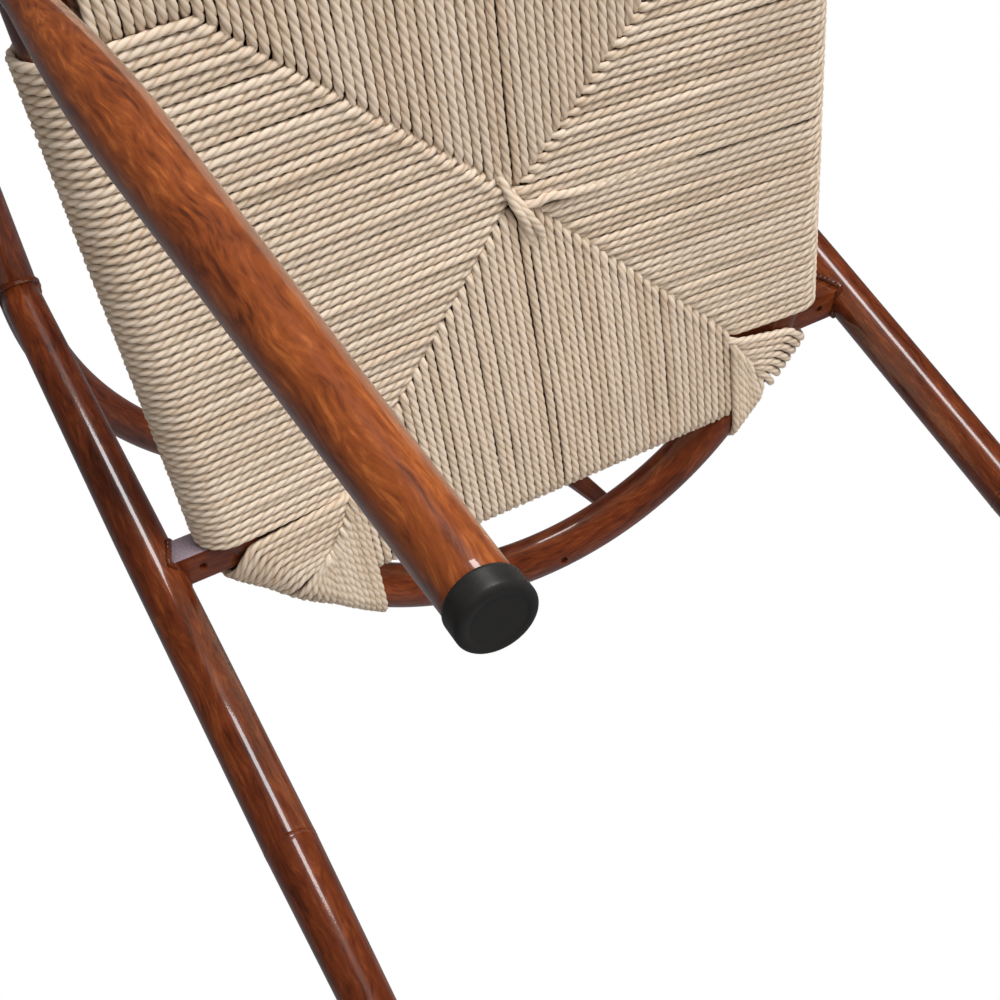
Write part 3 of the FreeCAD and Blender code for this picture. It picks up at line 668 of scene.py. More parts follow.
def front_leg(word, side, material, count):
    """Front leg with close rings along its shoulder, coped to the front rail's underside."""
    up = front_up(side)
    foot = front_foot(side)
    runs = ((3, 265, 30), (269, 390, 40), (395, 425, 6))
    s = np.concatenate([np.linspace(*run) for run in runs])
    path = foot + s[:, None] * up
    outline = circle(front_radius(s), count)
    grid = carried(path, X_AXIS, outline)
    joint = foot + up * np.linalg.norm(front_joint(side) - foot)
    grid[-1] = saddle(joint, up, X_AXIS, TUBE_R - 0.4, grid[-1] - path[-1])
    offset = (0.4 * side, 0.3 + side * 0.21, 0.17)
    node = "front_leg_" + word
    tube_piece(node + "_tube", path, grid, outline, material, [node], offset)


def rear_leg(word, side, material, count):
    """Tapered foot piece and post in one run, with a fine groove where they are butted."""
    near = SEAM + np.array([-1.6, -0.9, -0.5, -0.2, 0.2, 0.5, 0.9, 1.6])
    below = np.linspace(3, SEAM - 4, 26)
    s = np.concatenate([below, near, np.linspace(SEAM + 4, POST_END - 14, 44)])
    turns = [0, SEAM, LEG_LENGTH + 30.0, POST_END]
    radius = np.interp(s, turns, [TIP_R, TUBE_R, TUBE_R, POST_TOP_R])
    radius = radius - 0.38 * np.exp(-(((s - SEAM) / 0.42) ** 2))
    radius = radius + 0.16 * np.exp(-(((np.abs(s - SEAM) - 1.1) / 0.5) ** 2))
    path = rear_foot(side) + s[:, None] * REAR_UP
    outline = circle(radius, count)
    grid = carried(path, X_AXIS, outline)
    joint = rear_foot(side) + REAR_UP * POST_END
    grid[-1] = saddle(joint, REAR_UP, ARM_BACK, TOP_R - 0.4, grid[-1] - path[-1])
    stands = ["rear_post_" + word, "rear_leg_taper_" + word]
    offset = (1.3 + side * 0.37, 0.9, 0.31 * side)
    tube_piece("rear_leg_%s_tube" % word, path, grid, outline, material, stands, offset)


def mitred(grid, path, first_side):
    """The end rings, moved along the tube onto the planes of the front corners' mitres."""
    along = tangents(path)
    for row, side in ((0, first_side), (-1, -first_side)):
        corner = in_seat((side * FRONT_HALF, -FRONT_Y, 0.0))
        normal = tilt(unit((side, 1.0, 0.0)), SEAT_SLOPE)
        t = ((corner - grid[row]) @ normal) / (along[row] @ normal)
        grid[row] += t[:, None] * along[row]
    return grid


def pitted(grid, place, radius, depth):
    """Makes a hole in the underside: points near its axis go up, by the depth times a steep
    step of distance."""
    gap = grid - place
    height = gap @ SEAT_UP
    near = np.linalg.norm(gap - height[..., None] * SEAT_UP, axis=-1)
    push = depth / (1 + np.exp((near - radius) / 0.07))
    return grid + np.where(height < 6, push, 0.0)[..., None] * SEAT_UP


def hoop_axis():
    """The hoop's axis from the front corner on the sitter's left to the one on the right, with
    close points where the vent hole is. The centre of each bend is one bend radius from the
    rail and BOW_R - BEND_R from the centre of the bow."""
    run = unit((-RAIL_TAPER / FRONT_Y, 1.0))
    inward = np.array([-run[1], run[0]])
    start = np.array([FRONT_HALF, -FRONT_Y])
    shifted = start + inward * BEND_R
    gap = shifted - BOW_CENTRE
    b = gap @ run
    centre = shifted + run * (-b + math.sqrt(b * b - (gap @ gap - (BOW_R - BEND_R) ** 2)))
    leave = centre - inward * BEND_R
    first = math.atan2(*(leave - centre)[::-1])
    last = math.atan2(*(centre - BOW_CENTRE)[::-1])
    rail = start + np.linspace(0, 1, 30)[:, None] * (leave - start)
    bend = centre + circle(BEND_R, np.linspace(first, last, 14)[1:])[0]
    half = np.concatenate([rail, bend])
    hole = math.acos(VENT_X / BOW_R)
    coarse = np.linspace(last, math.pi - last, 110)[1:-1]
    coarse = coarse[np.abs(coarse - hole) > 3.4 / BOW_R]
    turn = np.sort(np.concatenate([coarse, hole + np.linspace(-3.0, 3.0, 21) / BOW_R]))
    bow = BOW_CENTRE + circle(BOW_R, turn)[0]
    return level(np.concatenate([half, bow, (half * [-1, 1])[::-1]]))


def seat_hoop(material, count):
    """Bent hoop with close points along its underside, for the vent hole."""
    path = in_seat(hoop_axis())
    turn = np.linspace(0, 2 * math.pi, count, endpoint=False)
    turn = turn[np.abs(np.angle(np.exp(1j * (turn - math.pi)))) > math.radians(14)]
    close = math.pi + np.radians(np.linspace(-13, 13, 19))
    outline = circle(TUBE_R, np.sort(np.concatenate([turn, close])))
    grid = mitred(carried(path, SEAT_UP, outline), path, 1)
    vent = in_seat((VENT_X, bow_y(VENT_X), 0.0)) - SEAT_UP * TUBE_R
    grid = pitted(grid, vent, VENT_R, 5.0)
    tube_piece("seat_hoop_tube", path, grid, outline, material, ["seat_hoop"], (3.1, 0.4, 0.9))


def round_rail(node, x, y, outline, material, offset, mitre=False):
    """Round tube straight across the seat frame."""
    path = in_seat(stacked(x, y, 0.0))
    grid = carried(path, SEAT_UP, outline)
    if mitre:
        grid = mitred(grid, path, -1)
    tube_piece(node + "_tube", path, grid, outline, material, [node], offset)


def cross_rail(material):
    """Square tube between the rear legs, with a drain hole pressed in near each end. Side is
    up and tangent x side is ahead, so the underside is the outline's second edge."""
    holes = [side * DRAIN_X + np.linspace(-2.8, 2.8, 17) for side in (-1, 1)]
    x = np.sort(np.concatenate([np.linspace(-226.0, 226.0, 40), *holes]))
    x = x[np.concatenate([[True], np.diff(x) > 0.05])]
    path = in_seat(stacked(x, 0.0, 0.0))
    under = stacked(-CROSS_HALF, np.linspace(2.7, -2.7, 15))
    outline = rounded_box(CROSS_HALF, CROSS_HALF, 1.8, 5, [under])[None]
    grid = carried(path, SEAT_UP, outline)
    for side in (-1, 1):
        grid = pitted(grid, in_seat((side * DRAIN_X, 0.0, -CROSS_HALF)), DRAIN_R, 4.0)
    tube_piece("cross_rail_tube", path, grid, outline, material, ["cross_rail"], (6.3, 0.2, 1.1))


def top_rail(material, count):
    """Half circle that runs on into two straight arms."""
    left = stacked(REAR_HALF, np.linspace(-ARM_LENGTH, 0, 18)[:-1])
    arc = circle(REAR_HALF, np.linspace(0, math.pi, 120))[0]
    path = in_top(level(np.concatenate([left, arc, (left * [-1, 1])[::-1]])))
    outline = circle(TOP_R, count)
    grid = carried(path, TOP_UP, outline)
    tube_piece("top_rail_tube", path, grid, outline, material, ["top_rail"], (7.4, 0.8, 1.7))


def arm_cap(word, side, material, count):
    """Rounded cap in the arm's end: a shallow joint line, a short band and a round edge."""
    depth, edge = 7.0, 5.5
    t = np.radians(np.linspace(0, 90, 12))
    s = np.concatenate([[-0.5, 0.1, 0.5], depth - edge + edge * np.sin(t), [depth, depth]])
    joint = [TOP_R - 0.4, TOP_R - 0.4, TOP_R]
    r = np.concatenate([joint, TOP_R - edge + edge * np.cos(t), [4.0, 0.6]])
    path = in_top((side * REAR_HALF, -ARM_LENGTH, 0.0)) - s[:, None] * ARM_BACK
    grid = path[:, None] + r[:, None, None] * spokes(-ARM_BACK, count)
    name = "arm_cap_%s_turning" % word
    offset = (8.1 + side, 0.3, 0.5)
    tube_piece(name, path, grid, circle(r, count), material, ["arm_end_cap_" + word], offset)


def back_slat(word, side, material):
    """Flat bar with soft edges that widens from the bow up to the top rail."""
    low, high = slat_ends(side)
    t = np.linspace(0, 1, 40)[:, None]
    path = low + t * (high - low)
    outline = np.repeat(rounded_box(5.0, 3.0, 2.0, 6)[None], len(t), 0)
    outline[..., 0] += np.sign(outline[..., 0]) * 10.0 * t
    grid = carried(path, X_AXIS, outline)
    node = "back_slat_" + word
    tube_piece(node + "_bar", path, grid, outline, material, [node], (9.2 + side, 0.1, 0.7))


def foot_cap(node, foot, up, material):
    """Skirt along the leg down to a flat foot on the floor. Each column of the skirt follows
    the leg's direction, and the rim is a quarter circle."""
    spoke = spokes(up, 64)
    rim = foot + CAP_R * spoke
    floor = rim - (rim[:, 2] / up[2])[:, None] * up
    centre = np.array([foot[0], foot[1], 0.0])
    inward = unit(centre - floor)
    skirt = 8.0 - (floor - foot) @ up
    rows = []
    for shift, height in ((1.0, -2.0), (0.85, -0.2), (0.35, 0.05), (0.0, -0.35), (0.0, -1.2)):
        rows.append(floor + (skirt + height)[:, None] * up - shift * spoke)
    rows.append(floor + 2.6 * up)
    for turn in np.radians(np.linspace(0, 90, 8)):
        rise = CAP_RIM * (1 - math.sin(turn)) / up[2]
        rows.append(floor + rise * up + CAP_RIM * (1 - math.cos(turn)) * inward)
    flat = floor + CAP_RIM * inward
    for share, height in ((0.12, 0.0), (0.16, 0.25), (0.22, 0.25), (0.6, 0.25), (0.93, 0.25)):
        rows.append(flat + share * (centre - flat) + np.array([0, 0, height]))
    ring_piece(node + "_moulding", np.stack(rows)[::-1], material, [node])


def weld_bead(node, loop, count, radius, material, offset):
    """Weld bead: a ring of small overlapping ripples, evenly along a closed loop."""
    closed = np.concatenate([loop, loop[:1]])
    s = lengths_along(closed)
    at = np.linspace(0, s[-1], count, endpoint=False)
    loop = np.stack([np.interp(at, s, closed[:, k]) for k in range(3)], -1)
    step = np.arange(count) * 1.0
    outline = circle(radius * (1 + 0.16 * np.abs(np.sin(step * math.pi / 4)) - 0.08), 10)
    grid = carried(loop, unit(loop - loop.mean(0)), outline, closed=True)
    layers = {"grain": grain_layer(outline, step, offset)}
    ring_piece(node + "_bead", grid, material, [node], layers, closed=True)


def welds(word, side, radius, material):
    """Beads at the cross rail, under the arm and at the slat's foot, on one side."""
    section = rounded_box(10.4, 10.4, 2.4, 8)
    loop = tilt(stacked(0.0, section[:, 0], section[:, 1]), SEAT_SLOPE)
    joint = in_seat((side * REAR_HALF, 0.0, 0.0))
    loop = saddle(joint, side * X_AXIS, REAR_UP, TUBE_R + 0.3, loop)
    weld_bead("cross_rail_weld_" + word, loop, 96, radius, material, (1, side, 0))

    joint = rear_foot(side) + REAR_UP * POST_END
    loop = saddle(joint, REAR_UP, ARM_BACK, TOP_R + 0.3, 12.5 * spokes(REAR_UP, 80))
    weld_bead("post_top_weld_" + word, loop, 88, radius, material, (2, side, 0))

    low, high = slat_ends(side)
    run = unit(high - low)
    a = unit(X_AXIS - run[0] * run)
    loop = rounded_box(5.9, 3.4, 2.2, 6) @ np.array([a, np.cross(run, a)])
    bow = tilt(unit((bow_y(SLAT_LOW_X) - BOW_Y, -side * SLAT_LOW_X, 0.0)), SEAT_SLOPE)
    loop = saddle(low, -run, bow, TUBE_R + 0.2, loop)
    weld_bead("slat_weld_" + word, loop, 40, 1.5, material, (3, side, 0))


# Paper cord

# How the ends of a cord pass over the neighbouring panel, or tuck under it: how far they run
# past the mitre, how far and over what length they dip, and how much they rise before that
END_OVER = (2.6, 4.6, 4.2, 0.9)
END_UNDER = (3.2, 6.2, 10.5, 0.0)

# Share of the cord's radius, and weight of the painted shade in the grooves between the plies,
# at the points of a ring, for three plies
LOBES = np.array([1.0, 0.955, 0.775, 0.955] * 3)
GROOVE_SHADE = np.array([0.0, 0.10, 1.0, 0.10] * 3)
ROUND_POINTS = 60


def wrap_curve(radius, reach, rise, bump=None):
    """Section of a cord round a rail as three columns: length, distance in from the rail's
    axis and height. The cord goes half round the rail on a circle and runs straight to the
    rise at the reach, or first to the bump. Length is 0 at the outermost point."""
    stops = [(reach, rise)] if bump is None else [bump, (reach, rise)]
    x, z = stops[0]
    turn = math.atan2(z, x) + math.acos(radius / math.hypot(x, z))
    points = [circle(radius, np.linspace(math.pi, turn, ROUND_POINTS))[0]]
    t = np.linspace(0, 1, 120)[1:, None]
    for stop in stops:
        last = points[-1][-1]
        points.append(last + t * (np.array(stop) - last))
    line = np.concatenate(points)
    return np.column_stack([lengths_along(line), line])


def cord_strands(name, node, material, axis, inward, reach, wraps, over, seed, lean=None):
    """Strands of cord, each in its own upright plane through the rail.
    axis holds where each strand's plane cuts the rail's axis, and inward is the level
    direction into the seat. reach is how far in each strand goes, wraps are its sections above
    and below, and over says whether its ends lie on the neighbouring panel or tuck under it.
    lean is how far a strand swings ahead once it has come round the rail.
    """
    step = bpy.context.scene.armchair_sizes.cord_step / MM
    rng = np.random.default_rng(seed)
    n = len(axis)
    upper, lower = wraps
    inward = np.broadcast_to(np.asarray(inward, float), axis.shape)
    over = np.broadcast_to(over, (4, n))
    past, dip, span, rise = np.where(over.T, END_OVER, END_UNDER).T
    reach = reach + past + rng.normal(0.0, 0.35, n)
    top_end = np.interp(reach, upper[ROUND_POINTS:, 1], upper[ROUND_POINTS:, 0])
    low_end = np.interp(reach, lower[ROUND_POINTS:, 1], lower[ROUND_POINTS:, 0])
    total = top_end + low_end
    counts = np.ceil(total / step).astype(int) + 1
    strand = np.repeat(np.arange(n), counts)
    index = np.arange(counts.sum()) - (np.cumsum(counts) - counts)[strand]
    s = -low_end[strand] + index / (counts[strand] - 1) * total[strand]

    # Distance in and height, with the ends bent over or under the neighbouring panel
    above = s >= 0
    sign = np.where(above, 1.0, -1.0)
    far = np.abs(s)
    top = [np.interp(far, upper[:, 0], upper[:, k]) for k in (1, 2)]
    low = [np.interp(far, lower[:, 0], lower[:, k]) for k in (1, 2)]
    q, z = np.where(above, top, low)
    left = np.where(above, top_end[strand] - s, s + low_end[strand])
    fall = np.clip(1 - left / span[strand], 0, 1) ** 1.7
    swell = rise[strand] * np.exp(-(((left - 5.0) / 4.0) ** 2))
    z = sign * (z + swell - dip[strand] * fall)

    # Small unevenness of hand work, which fades out round the rail
    straight = np.clip((far - 30.0) / 25.0, 0, 1)
    phase = rng.uniform(0, 2 * math.pi, (n, 3))
    wave = np.sin(s / 17.0 + phase[strand, 0]) + 0.7 * np.sin(s / 8.3 + phase[strand, 1])
    wander = 0.10 * wave + rng.normal(0.0, 0.13, n)[strand] * straight
    lift = 0.14 * np.sin(s / 12.0 + phase[strand, 2]) + rng.normal(0.0, 0.28, n)[strand]
    across = level(np.column_stack([-inward[:, 1], inward[:, 0]]))[strand]
    centre = level(axis)[strand] + q[:, None] * level(inward)[strand] + wander[:, None] * across
    centre[:, 2] += z + sign * lift * straight
    if lean is not None:
        u = np.clip((far - 9.0) / 20.0, 0, 1)
        whole = np.where(above, top_end[strand], low_end[strand])
        fade = np.clip(left / np.maximum(whole - 29.0, 1.0), 0, 1)
        centre[:, 1] -= lean[strand] * u * u * (3 - 2 * u) * fade
    tone = rng.uniform(0, 1, n)[strand]
    turn = rng.uniform(0, 2 * math.pi, n)[strand]
    lay_cords(name, [node], material, centre, strand, s, across, turn, tone)


def lay_cords(name, stands_for, material, centre, strand, s, side, turn, tone):
    """Piece of cords from the points of their centre lines in the seat's plane.
    Each ring has twelve points, three plies wide, at the angle turn - 2 pi s / pitch."""
    sizes = bpy.context.scene.armchair_sizes
    columns = len(LOBES)
    here = np.arange(len(s))
    first = np.flatnonzero(np.diff(strand, prepend=-1))
    last = np.append(first[1:], len(s)) - 1
    order = np.cumsum(np.diff(strand, prepend=strand[0]) != 0)
    after = np.minimum(here + 1, last[order])
    before = np.maximum(here - 1, first[order])
    along = unit(centre[after] - centre[before])
    side = unit(side - (side * along).sum(1)[:, None] * along)
    up = np.cross(along, side)
    turn = turn - 2 * math.pi * s / (sizes.cord_pitch / MM)
    angle = turn[:, None] + np.arange(columns) * 2 * math.pi / columns
    ring = sizes.cord_radius / MM * LOBES
    points = (
        centre[:, None]
        + (ring * np.cos(angle))[..., None] * side[:, None]
        + (ring * np.sin(angle))[..., None] * up[:, None]
    )
    joined = np.flatnonzero(strand[1:] == strand[:-1])
    faces = band_faces(joined, joined + 1, columns)
    column = np.arange(columns)
    ends = [*(first[:, None] * columns + column[::-1]), *(last[:, None] * columns + column)]
    lay = stacked(s[:, None] * MM, column * 1.37 * MM, strand[:, None] * 0.61)
    layers = {
        "lay": lay.reshape(-1, 3),
        # Weight of the painted shade in the grooves between the plies
        "groove": np.broadcast_to(GROOVE_SHADE, (len(s), columns)).ravel(),
        "tone": np.repeat(tone, columns),
    }
    points = in_seat(points.reshape(-1, 3))
    make_piece(name, points, faces, material, stands_for, ends, layers)


# Points of the three cords that cross the middle of the weave
MIDDLE_ROUTES = (
    (
        (2, -171, -2.5),
        (4, -163, -6.8),
        (7.5, -150, -9.0),
        (12, -140, -9.4),
        (14.5, -131, -7.8),
        (17, -119, -3.5),
    ),
    ((9.5, -156, -2.5), (12, -148, -7.6), (17, -138, -9.4), (21, -129, -7.9), (24.5, -117, -3.5)),
    (
        (120, -143.5, -10),
        (90, -143.5, -9.3),
        (60, -143.8, -8.6),
        (42, -145, -8.2),
        (28, -148, -9.0),
        (19.5, -146, -7.4),
        (10, -147, -1.0),
    ),
)


def centre_cords(material):
    """Cords that follow their points on a smooth line: a Catmull-Rom curve, read at even
    steps."""
    centre, strand, s = [], [], []
    for k, route in enumerate(MIDDLE_ROUTES):
        p = np.array(route, float)
        p = np.concatenate([2 * p[:1] - p[1:2], p, 2 * p[-1:] - p[-2:-1]])
        u = np.linspace(0, len(route) - 1.0001, 200)
        i = u.astype(int)
        f = (u - i)[:, None]
        a, b, c, d = p[i], p[i + 1], p[i + 2], p[i + 3]
        line = 0.5 * (2 * b + (c - a) * f + (2 * a - 5 * b + 4 * c - d) * f**2)
        line = line + 0.5 * (3 * b - a - 3 * c + d) * f**3
        run = lengths_along(line)
        at = np.linspace(0, run[-1], int(run[-1] / 1.6))
        centre.append(np.stack([np.interp(at, run, line[:, m]) for m in range(3)], -1))
        strand.append(np.full(len(at), k))
        s.append(at)
    centre, strand, s = np.concatenate(centre), np.concatenate(strand), np.concatenate(s)
    down = np.array([0.0, 0.0, -1.0])
    tone = np.full(len(s), 0.3)
    lay_cords("seat_centre_cords", [], material, centre, strand, s, down, strand * 1.9, tone)


def stuffing_card(material):
    """Thin kraft card between the two layers of cord: a closed flat box."""
    plan = np.array([(-168.0, -322.0), (168.0, -322.0), (164.0, -30.0), (-164.0, -30.0)])
    grid = in_seat(np.stack([level(plan) + [0, 0, 0.4], level(plan) + [0, 0, 1.2]]))
    ring_piece("seat_stuffing_card", grid, material, ())


def spaced(first, last, count, split=None, gap=0.0):
    """Even places from first to last, drawn apart by a gap where they pass the split."""
    places = np.linspace(first, last, count)
    if split is not None:
        away = np.abs(places - split)
        places = places + np.sign(places - split) * gap / 2 * np.exp(-away / 40.0)
    return places


def weave_wraps(radius, deep, bump=None):
    """Sections of the cords above and below, as far as the centre of the weave."""
    return [wrap_curve(radius, deep, rise, bump) for rise in (WEAVE_RISE, WEAVE_DROP)]


def side_cords(word, side, material):
    """Cords of one side panel, which lie over the front panel and under the rear one."""
    y = spaced(-296.4, -13.2, 57, -143.5 if side > 0 else None, 1.0)
    front = y < WEAVE_Y
    slope = np.where(front, FRONT_MITRE / FRONT_MITRE_DEPTH, REAR_MITRE / REAR_MITRE_DEPTH)
    reach = side_x(y) - (WEAVE_X * side + np.abs(y - WEAVE_Y) * slope)
    wraps = weave_wraps(WRAP_R, side_x(WEAVE_Y) - side * WEAVE_X)
    axis = stacked(side * side_x(y), y)
    node = "seat_%s_panel" % word
    cord_strands(node + "_cords", node, material, axis, (-side, 0), reach, wraps, front, 11 + side)


def front_cords(word, side, material):
    """Cords of one half of the front panel, whose ends tuck under the side panels."""
    x = spaced(-177.0, 177.0, 70, WEAVE_X, 0.8)
    x = x[(x - WEAVE_X) * side > 0]
    deep = FRONT_Y + WEAVE_Y
    drop = np.abs(x - WEAVE_X) * FRONT_MITRE_DEPTH / FRONT_MITRE
    reach = deep - np.clip(drop, 5.0, FRONT_MITRE_DEPTH + 0.5)
    wraps = weave_wraps(WRAP_R, deep)
    name = "seat_front_panel_cords_" + word
    axis = stacked(x, -FRONT_Y)
    cord_strands(
        name, "seat_front_panel", material, axis, (0, 1), reach, wraps, False, 21 + side
    )


def rear_cords(word, side, material):
    """Cords of one half of the rear panel, which pass the cross rail and lie over the side
    panels."""
    split = WEAVE_X + 3.0
    x = spaced(-111.4, 135.4, 49, split, 0.9)
    x = x[(x - split) * side > 0]
    deep = CHORD_Y - WEAVE_Y
    wraps = weave_wraps(CHORD_WRAP_R, deep, (CHORD_Y + CROSS_HALF + 0.3, 12.9))
    reach = deep - np.maximum(np.abs(x - WEAVE_X) * REAR_MITRE_DEPTH / REAR_MITRE, 12.0)
    name = "seat_rear_panel_cords_" + word
    axis = stacked(x, CHORD_Y)
    cord_strands(name, "seat_rear_panel", material, axis, (0, -1), reach, wraps, True, 31 + side)


# For each rear corner: the angles on the bow of the first turn, the mitre and the last turn,
# how many turns come before and behind the mitre, how far the first ones swing ahead and the
# ones behind slant, and the mitre's line
CORNERS = {
    "right": (
        (60.5, 52.2, 35.63),
        (9, 14),
        (14.5, 14.0),
        ((119, -11), (127, 4), (136, 20), (146, 27)),
    ),
    "left": (
        (60.5, 52.4, 44.1),
        (8, 7),
        (9.0, 6.0),
        ((137, -8), (146, 6), (154, 20), (160, 29)),
    ),
}


def corner_cords(word, side, material):
    """Cords wound round the bend of the hoop. The first turns stand off the bend, where they
    are crowded against the cross rail, and the ones behind the mitre run back to the bow."""
    (first, split, last), (fan, wound), (swing, slant), line = CORNERS[word]
    corner = np.array(line, float)
    s = lengths_along(corner)
    wound_turn = np.radians(np.linspace(split - 1.2, last, wound))
    turn = np.concatenate([np.radians(np.linspace(first, split, fan)), wound_turn])
    share = np.linspace(0.0, 0.96, fan)
    inner = np.column_stack([np.interp(share * s[-1], s, corner[:, k]) for k in (0, 1)])
    x = BOW_R * np.sin(wound_turn) - slant * np.clip(1 - np.arange(wound) / 5.0, 0, 1)
    inner = np.concatenate([inner, stacked(x, np.interp(x, corner[:, 0], corner[:, 1]))])
    off = 8.0 * np.clip((np.degrees(turn) - 51.0) / 9.0, 0, 1) ** 1.4
    axis = stacked(BOW_R * np.sin(turn) + off, BOW_Y + BOW_R * np.cos(turn))
    gap = inner - axis
    reach = np.linalg.norm(gap, axis=1)
    inward = gap / reach[:, None] * [side, 1]
    axis = axis * [side, 1]
    wraps = [wrap_curve(WRAP_R, 260.0, WRAP_R - 0.05)] * 2
    over = np.arange(fan + wound) >= fan
    lean = np.concatenate([np.linspace(swing, 0.2 * swing, fan), np.zeros(wound)])
    node = "seat_corner_panel_" + word
    cord_strands(
        node + "_cords", node, material, axis, inward, reach, wraps, over, 41 + side, lean
    )


# Stage


def stage_mesh(name, points, faces, material_name):
    """Object for the stage with a material of its own: the object and the material's tree."""
    mesh = bpy.data.meshes.new(name)
    mesh.from_pydata(points, [], faces)
    item = bpy.data.objects.new(name, mesh)
    bpy.context.scene.collection.objects.link(item)
    material = bpy.data.materials.new(material_name)
    material.use_nodes = True
    mesh.materials.append(material)
    return item, Net(material.node_tree)


def make_floor():
    """Level floor, pale to the camera from above and clear from below, because the photo was
    taken from lower than it. It is darker to other rays, and so lights the seat less."""
    corners = [(-6, -6, 0), (6, -6, 0), (6, 6, 0), (-6, 6, 0)]
    floor, net = stage_mesh("floor", corners, [(0, 1, 2, 3)], "pale_floor")
    floor.location.z = -0.0004
    path = net.add("LightPath").outputs
    pale = net.mix(path["Is Camera Ray"], (0.42, 0.42, 0.42), (0.9, 0.9, 0.9))
    matt = net.add("BsdfDiffuse", {"Color": pale})
    clear = net.add("BsdfTransparent")
    back = net.add("NewGeometry").outputs["Backfacing"]
    net.either(net.calc("MAXIMUM", back, path["Is Shadow Ray"]), matt, clear)
    floor.visible_glossy = False


def make_walls():
    """Dim studio round the object that only its shiny surfaces show: a ball, its points
    5 * (cos a * cos b, sin a * cos b, sin b), paler behind the chair than in front."""
    columns, rows = 48, 25
    a = np.linspace(0, 2 * math.pi, columns + 1)[:-1]
    b = np.radians(np.linspace(-89.5, 89.5, rows))[:, None]
    grid = 5.0 * stacked(np.cos(a) * np.cos(b), np.sin(a) * np.cos(b), np.sin(b))
    faces = ring_faces(rows, columns)[:, ::-1].tolist()
    walls, net = stage_mesh("studio_walls", grid.reshape(-1, 3).tolist(), faces, "dim_wall")
    part = net.add("SeparateXYZ", {0: net.place()}).outputs
    strength = net.remap(part["Y"], -1.0, 4.5, 0.03, 0.22)
    glow = net.add("Emission", {"Color": (0.95, 0.95, 1.0), "Strength": strength})
    net.add("OutputMaterial", {"Surface": glow.outputs[0]})
    walls.visible_camera = False
    walls.visible_diffuse = False
    walls.visible_transmission = False
    walls.visible_shadow = False


def make_world():
    """White to the camera, in reflections and through glass, and softer as light."""
    world = bpy.data.worlds.new("studio")
    bpy.context.scene.world = world
    world.use_nodes = True
    net = Net(world.node_tree)
    soft = net.add("Background", {"Color": (1.0, 0.92, 0.83), "Strength": 0.25})
    white = net.add("Background", {"Color": (1.0, 1.0, 1.0), "Strength": 1.0})
    path = net.add("LightPath").outputs
    seen = net.calc("MAXIMUM", path["Is Camera Ray"], path["Is Glossy Ray"])
    seen = net.calc("MAXIMUM", seen, path["Is Transmission Ray"])
    net.either(seen, soft, white, "OutputWorld")


def matrix(right, up, back, place):
    """World matrix of an object that looks along -back."""
    return Matrix([[right[k], up[k], back[k], place[k]] for k in range(3)] + [[0, 0, 0, 1]])


def lamp(name, place, target, width, height, power, colour=(1, 1, 1)):
    """Area lamp that faces a point."""
    data = bpy.data.lights.new(name, "AREA")
    data.shape = "RECTANGLE"
    data.size = width
    data.size_y = height
    data.energy = power
    data.color = colour
    item = bpy.data.objects.new(name, data)
    back = unit(np.array(place) - np.array(target))
    right = unit(np.cross([0, 0, 1], back))
    item.matrix_world = matrix(right, np.cross(back, right), back, place)
    bpy.context.scene.collection.objects.link(item)
    return item


def make_lamps():
    """Wide soft key from the front, a fill from below and a lamp overhead, which only light,
    and a tall panel that only gives the highlights on the lacquer."""
    key = lamp("key", (0.60, -2.80, -0.24), (0, 0.05, 0.42), 1.3, 1.0, 94.0, (1.0, 0.99, 0.98))
    fill = lamp("fill", (0.66, -1.1, -1.35), (0, 0.0, 0.42), 1.4, 1.4, 26.0, (1.0, 0.95, 0.89))
    strip = lamp("strip", (0.91, -3.62, 1.56), (-0.02, 0.13, 0.75), 0.9, 1.9, 56.0)
    top = lamp("top", (0.5, 0.7, 3.2), (0, 0, 0.4), 2.2, 2.2, 150.0, (1.0, 0.99, 0.97))
    for item in (key, fill, top):
        item.visible_glossy = False
    strip.visible_diffuse = False


def make_camera(scene):
    """Camera from three unit vectors in the frame of the chair, right, down and ahead: the
    rows of the turn about a vector by its length. Pixels are of a 1000 pixel wide picture."""
    place = np.array([-278.9, -538.4, -215.8]) * MM
    turn = np.array([0.786, -0.48, -0.257])
    angle = np.linalg.norm(turn)
    k = turn / angle
    skew = np.array([[0, -k[2], k[1]], [k[2], 0, -k[0]], [-k[1], k[0], 0]])
    right, down, ahead = np.eye(3) + math.sin(angle) * skew + (1 - math.cos(angle)) * skew @ skew
    focal_pixels = 1538.85
    data = bpy.data.cameras.new("camera")
    data.sensor_width = 36.0
    data.lens = focal_pixels * data.sensor_width / 1000
    data.shift_x = -0.12
    data.shift_y = 0.06
    data.clip_start = 0.01
    data.clip_end = 50.0
    item = bpy.data.objects.new("camera", data)
    item.matrix_world = matrix(right, -down, -ahead, place)
    scene.collection.objects.link(item)
    scene.camera = item


# Operators


class ARMCHAIR_OT_legs(bpy.types.Operator):
    """Front legs with their slim necks, and rear legs that run on up to the arms"""

    bl_idname = "armchair.legs"
    bl_label = "Legs"

    def execute(self, context):
        count = context.scene.armchair_sizes.ring_sides
        for word, side in SIDES:
            # The front legs take the lighter copy of the lacquer, which is painted light
            front_leg(word, side, materials()["grained_lacquer_painted_light"], count)
            rear_leg(word, side, materials()["grained_lacquer"], count)
        return {"FINISHED"}


class ARMCHAIR_OT_foot_caps(bpy.types.Operator):
    """Black caps, flat on the floor, with a rounded rim and a skirt up the leg"""

    bl_idname = "armchair.foot_caps"
    bl_label = "Foot Caps"

    def execute(self, context):
        rubber = materials()["moulded_cap"]
        for word, side in SIDES:
            foot_cap("front_foot_cap_" + word, front_foot(side), front_up(side), rubber)
            foot_cap("rear_foot_cap_" + word, rear_foot(side), REAR_UP, rubber)
        return {"FINISHED"}


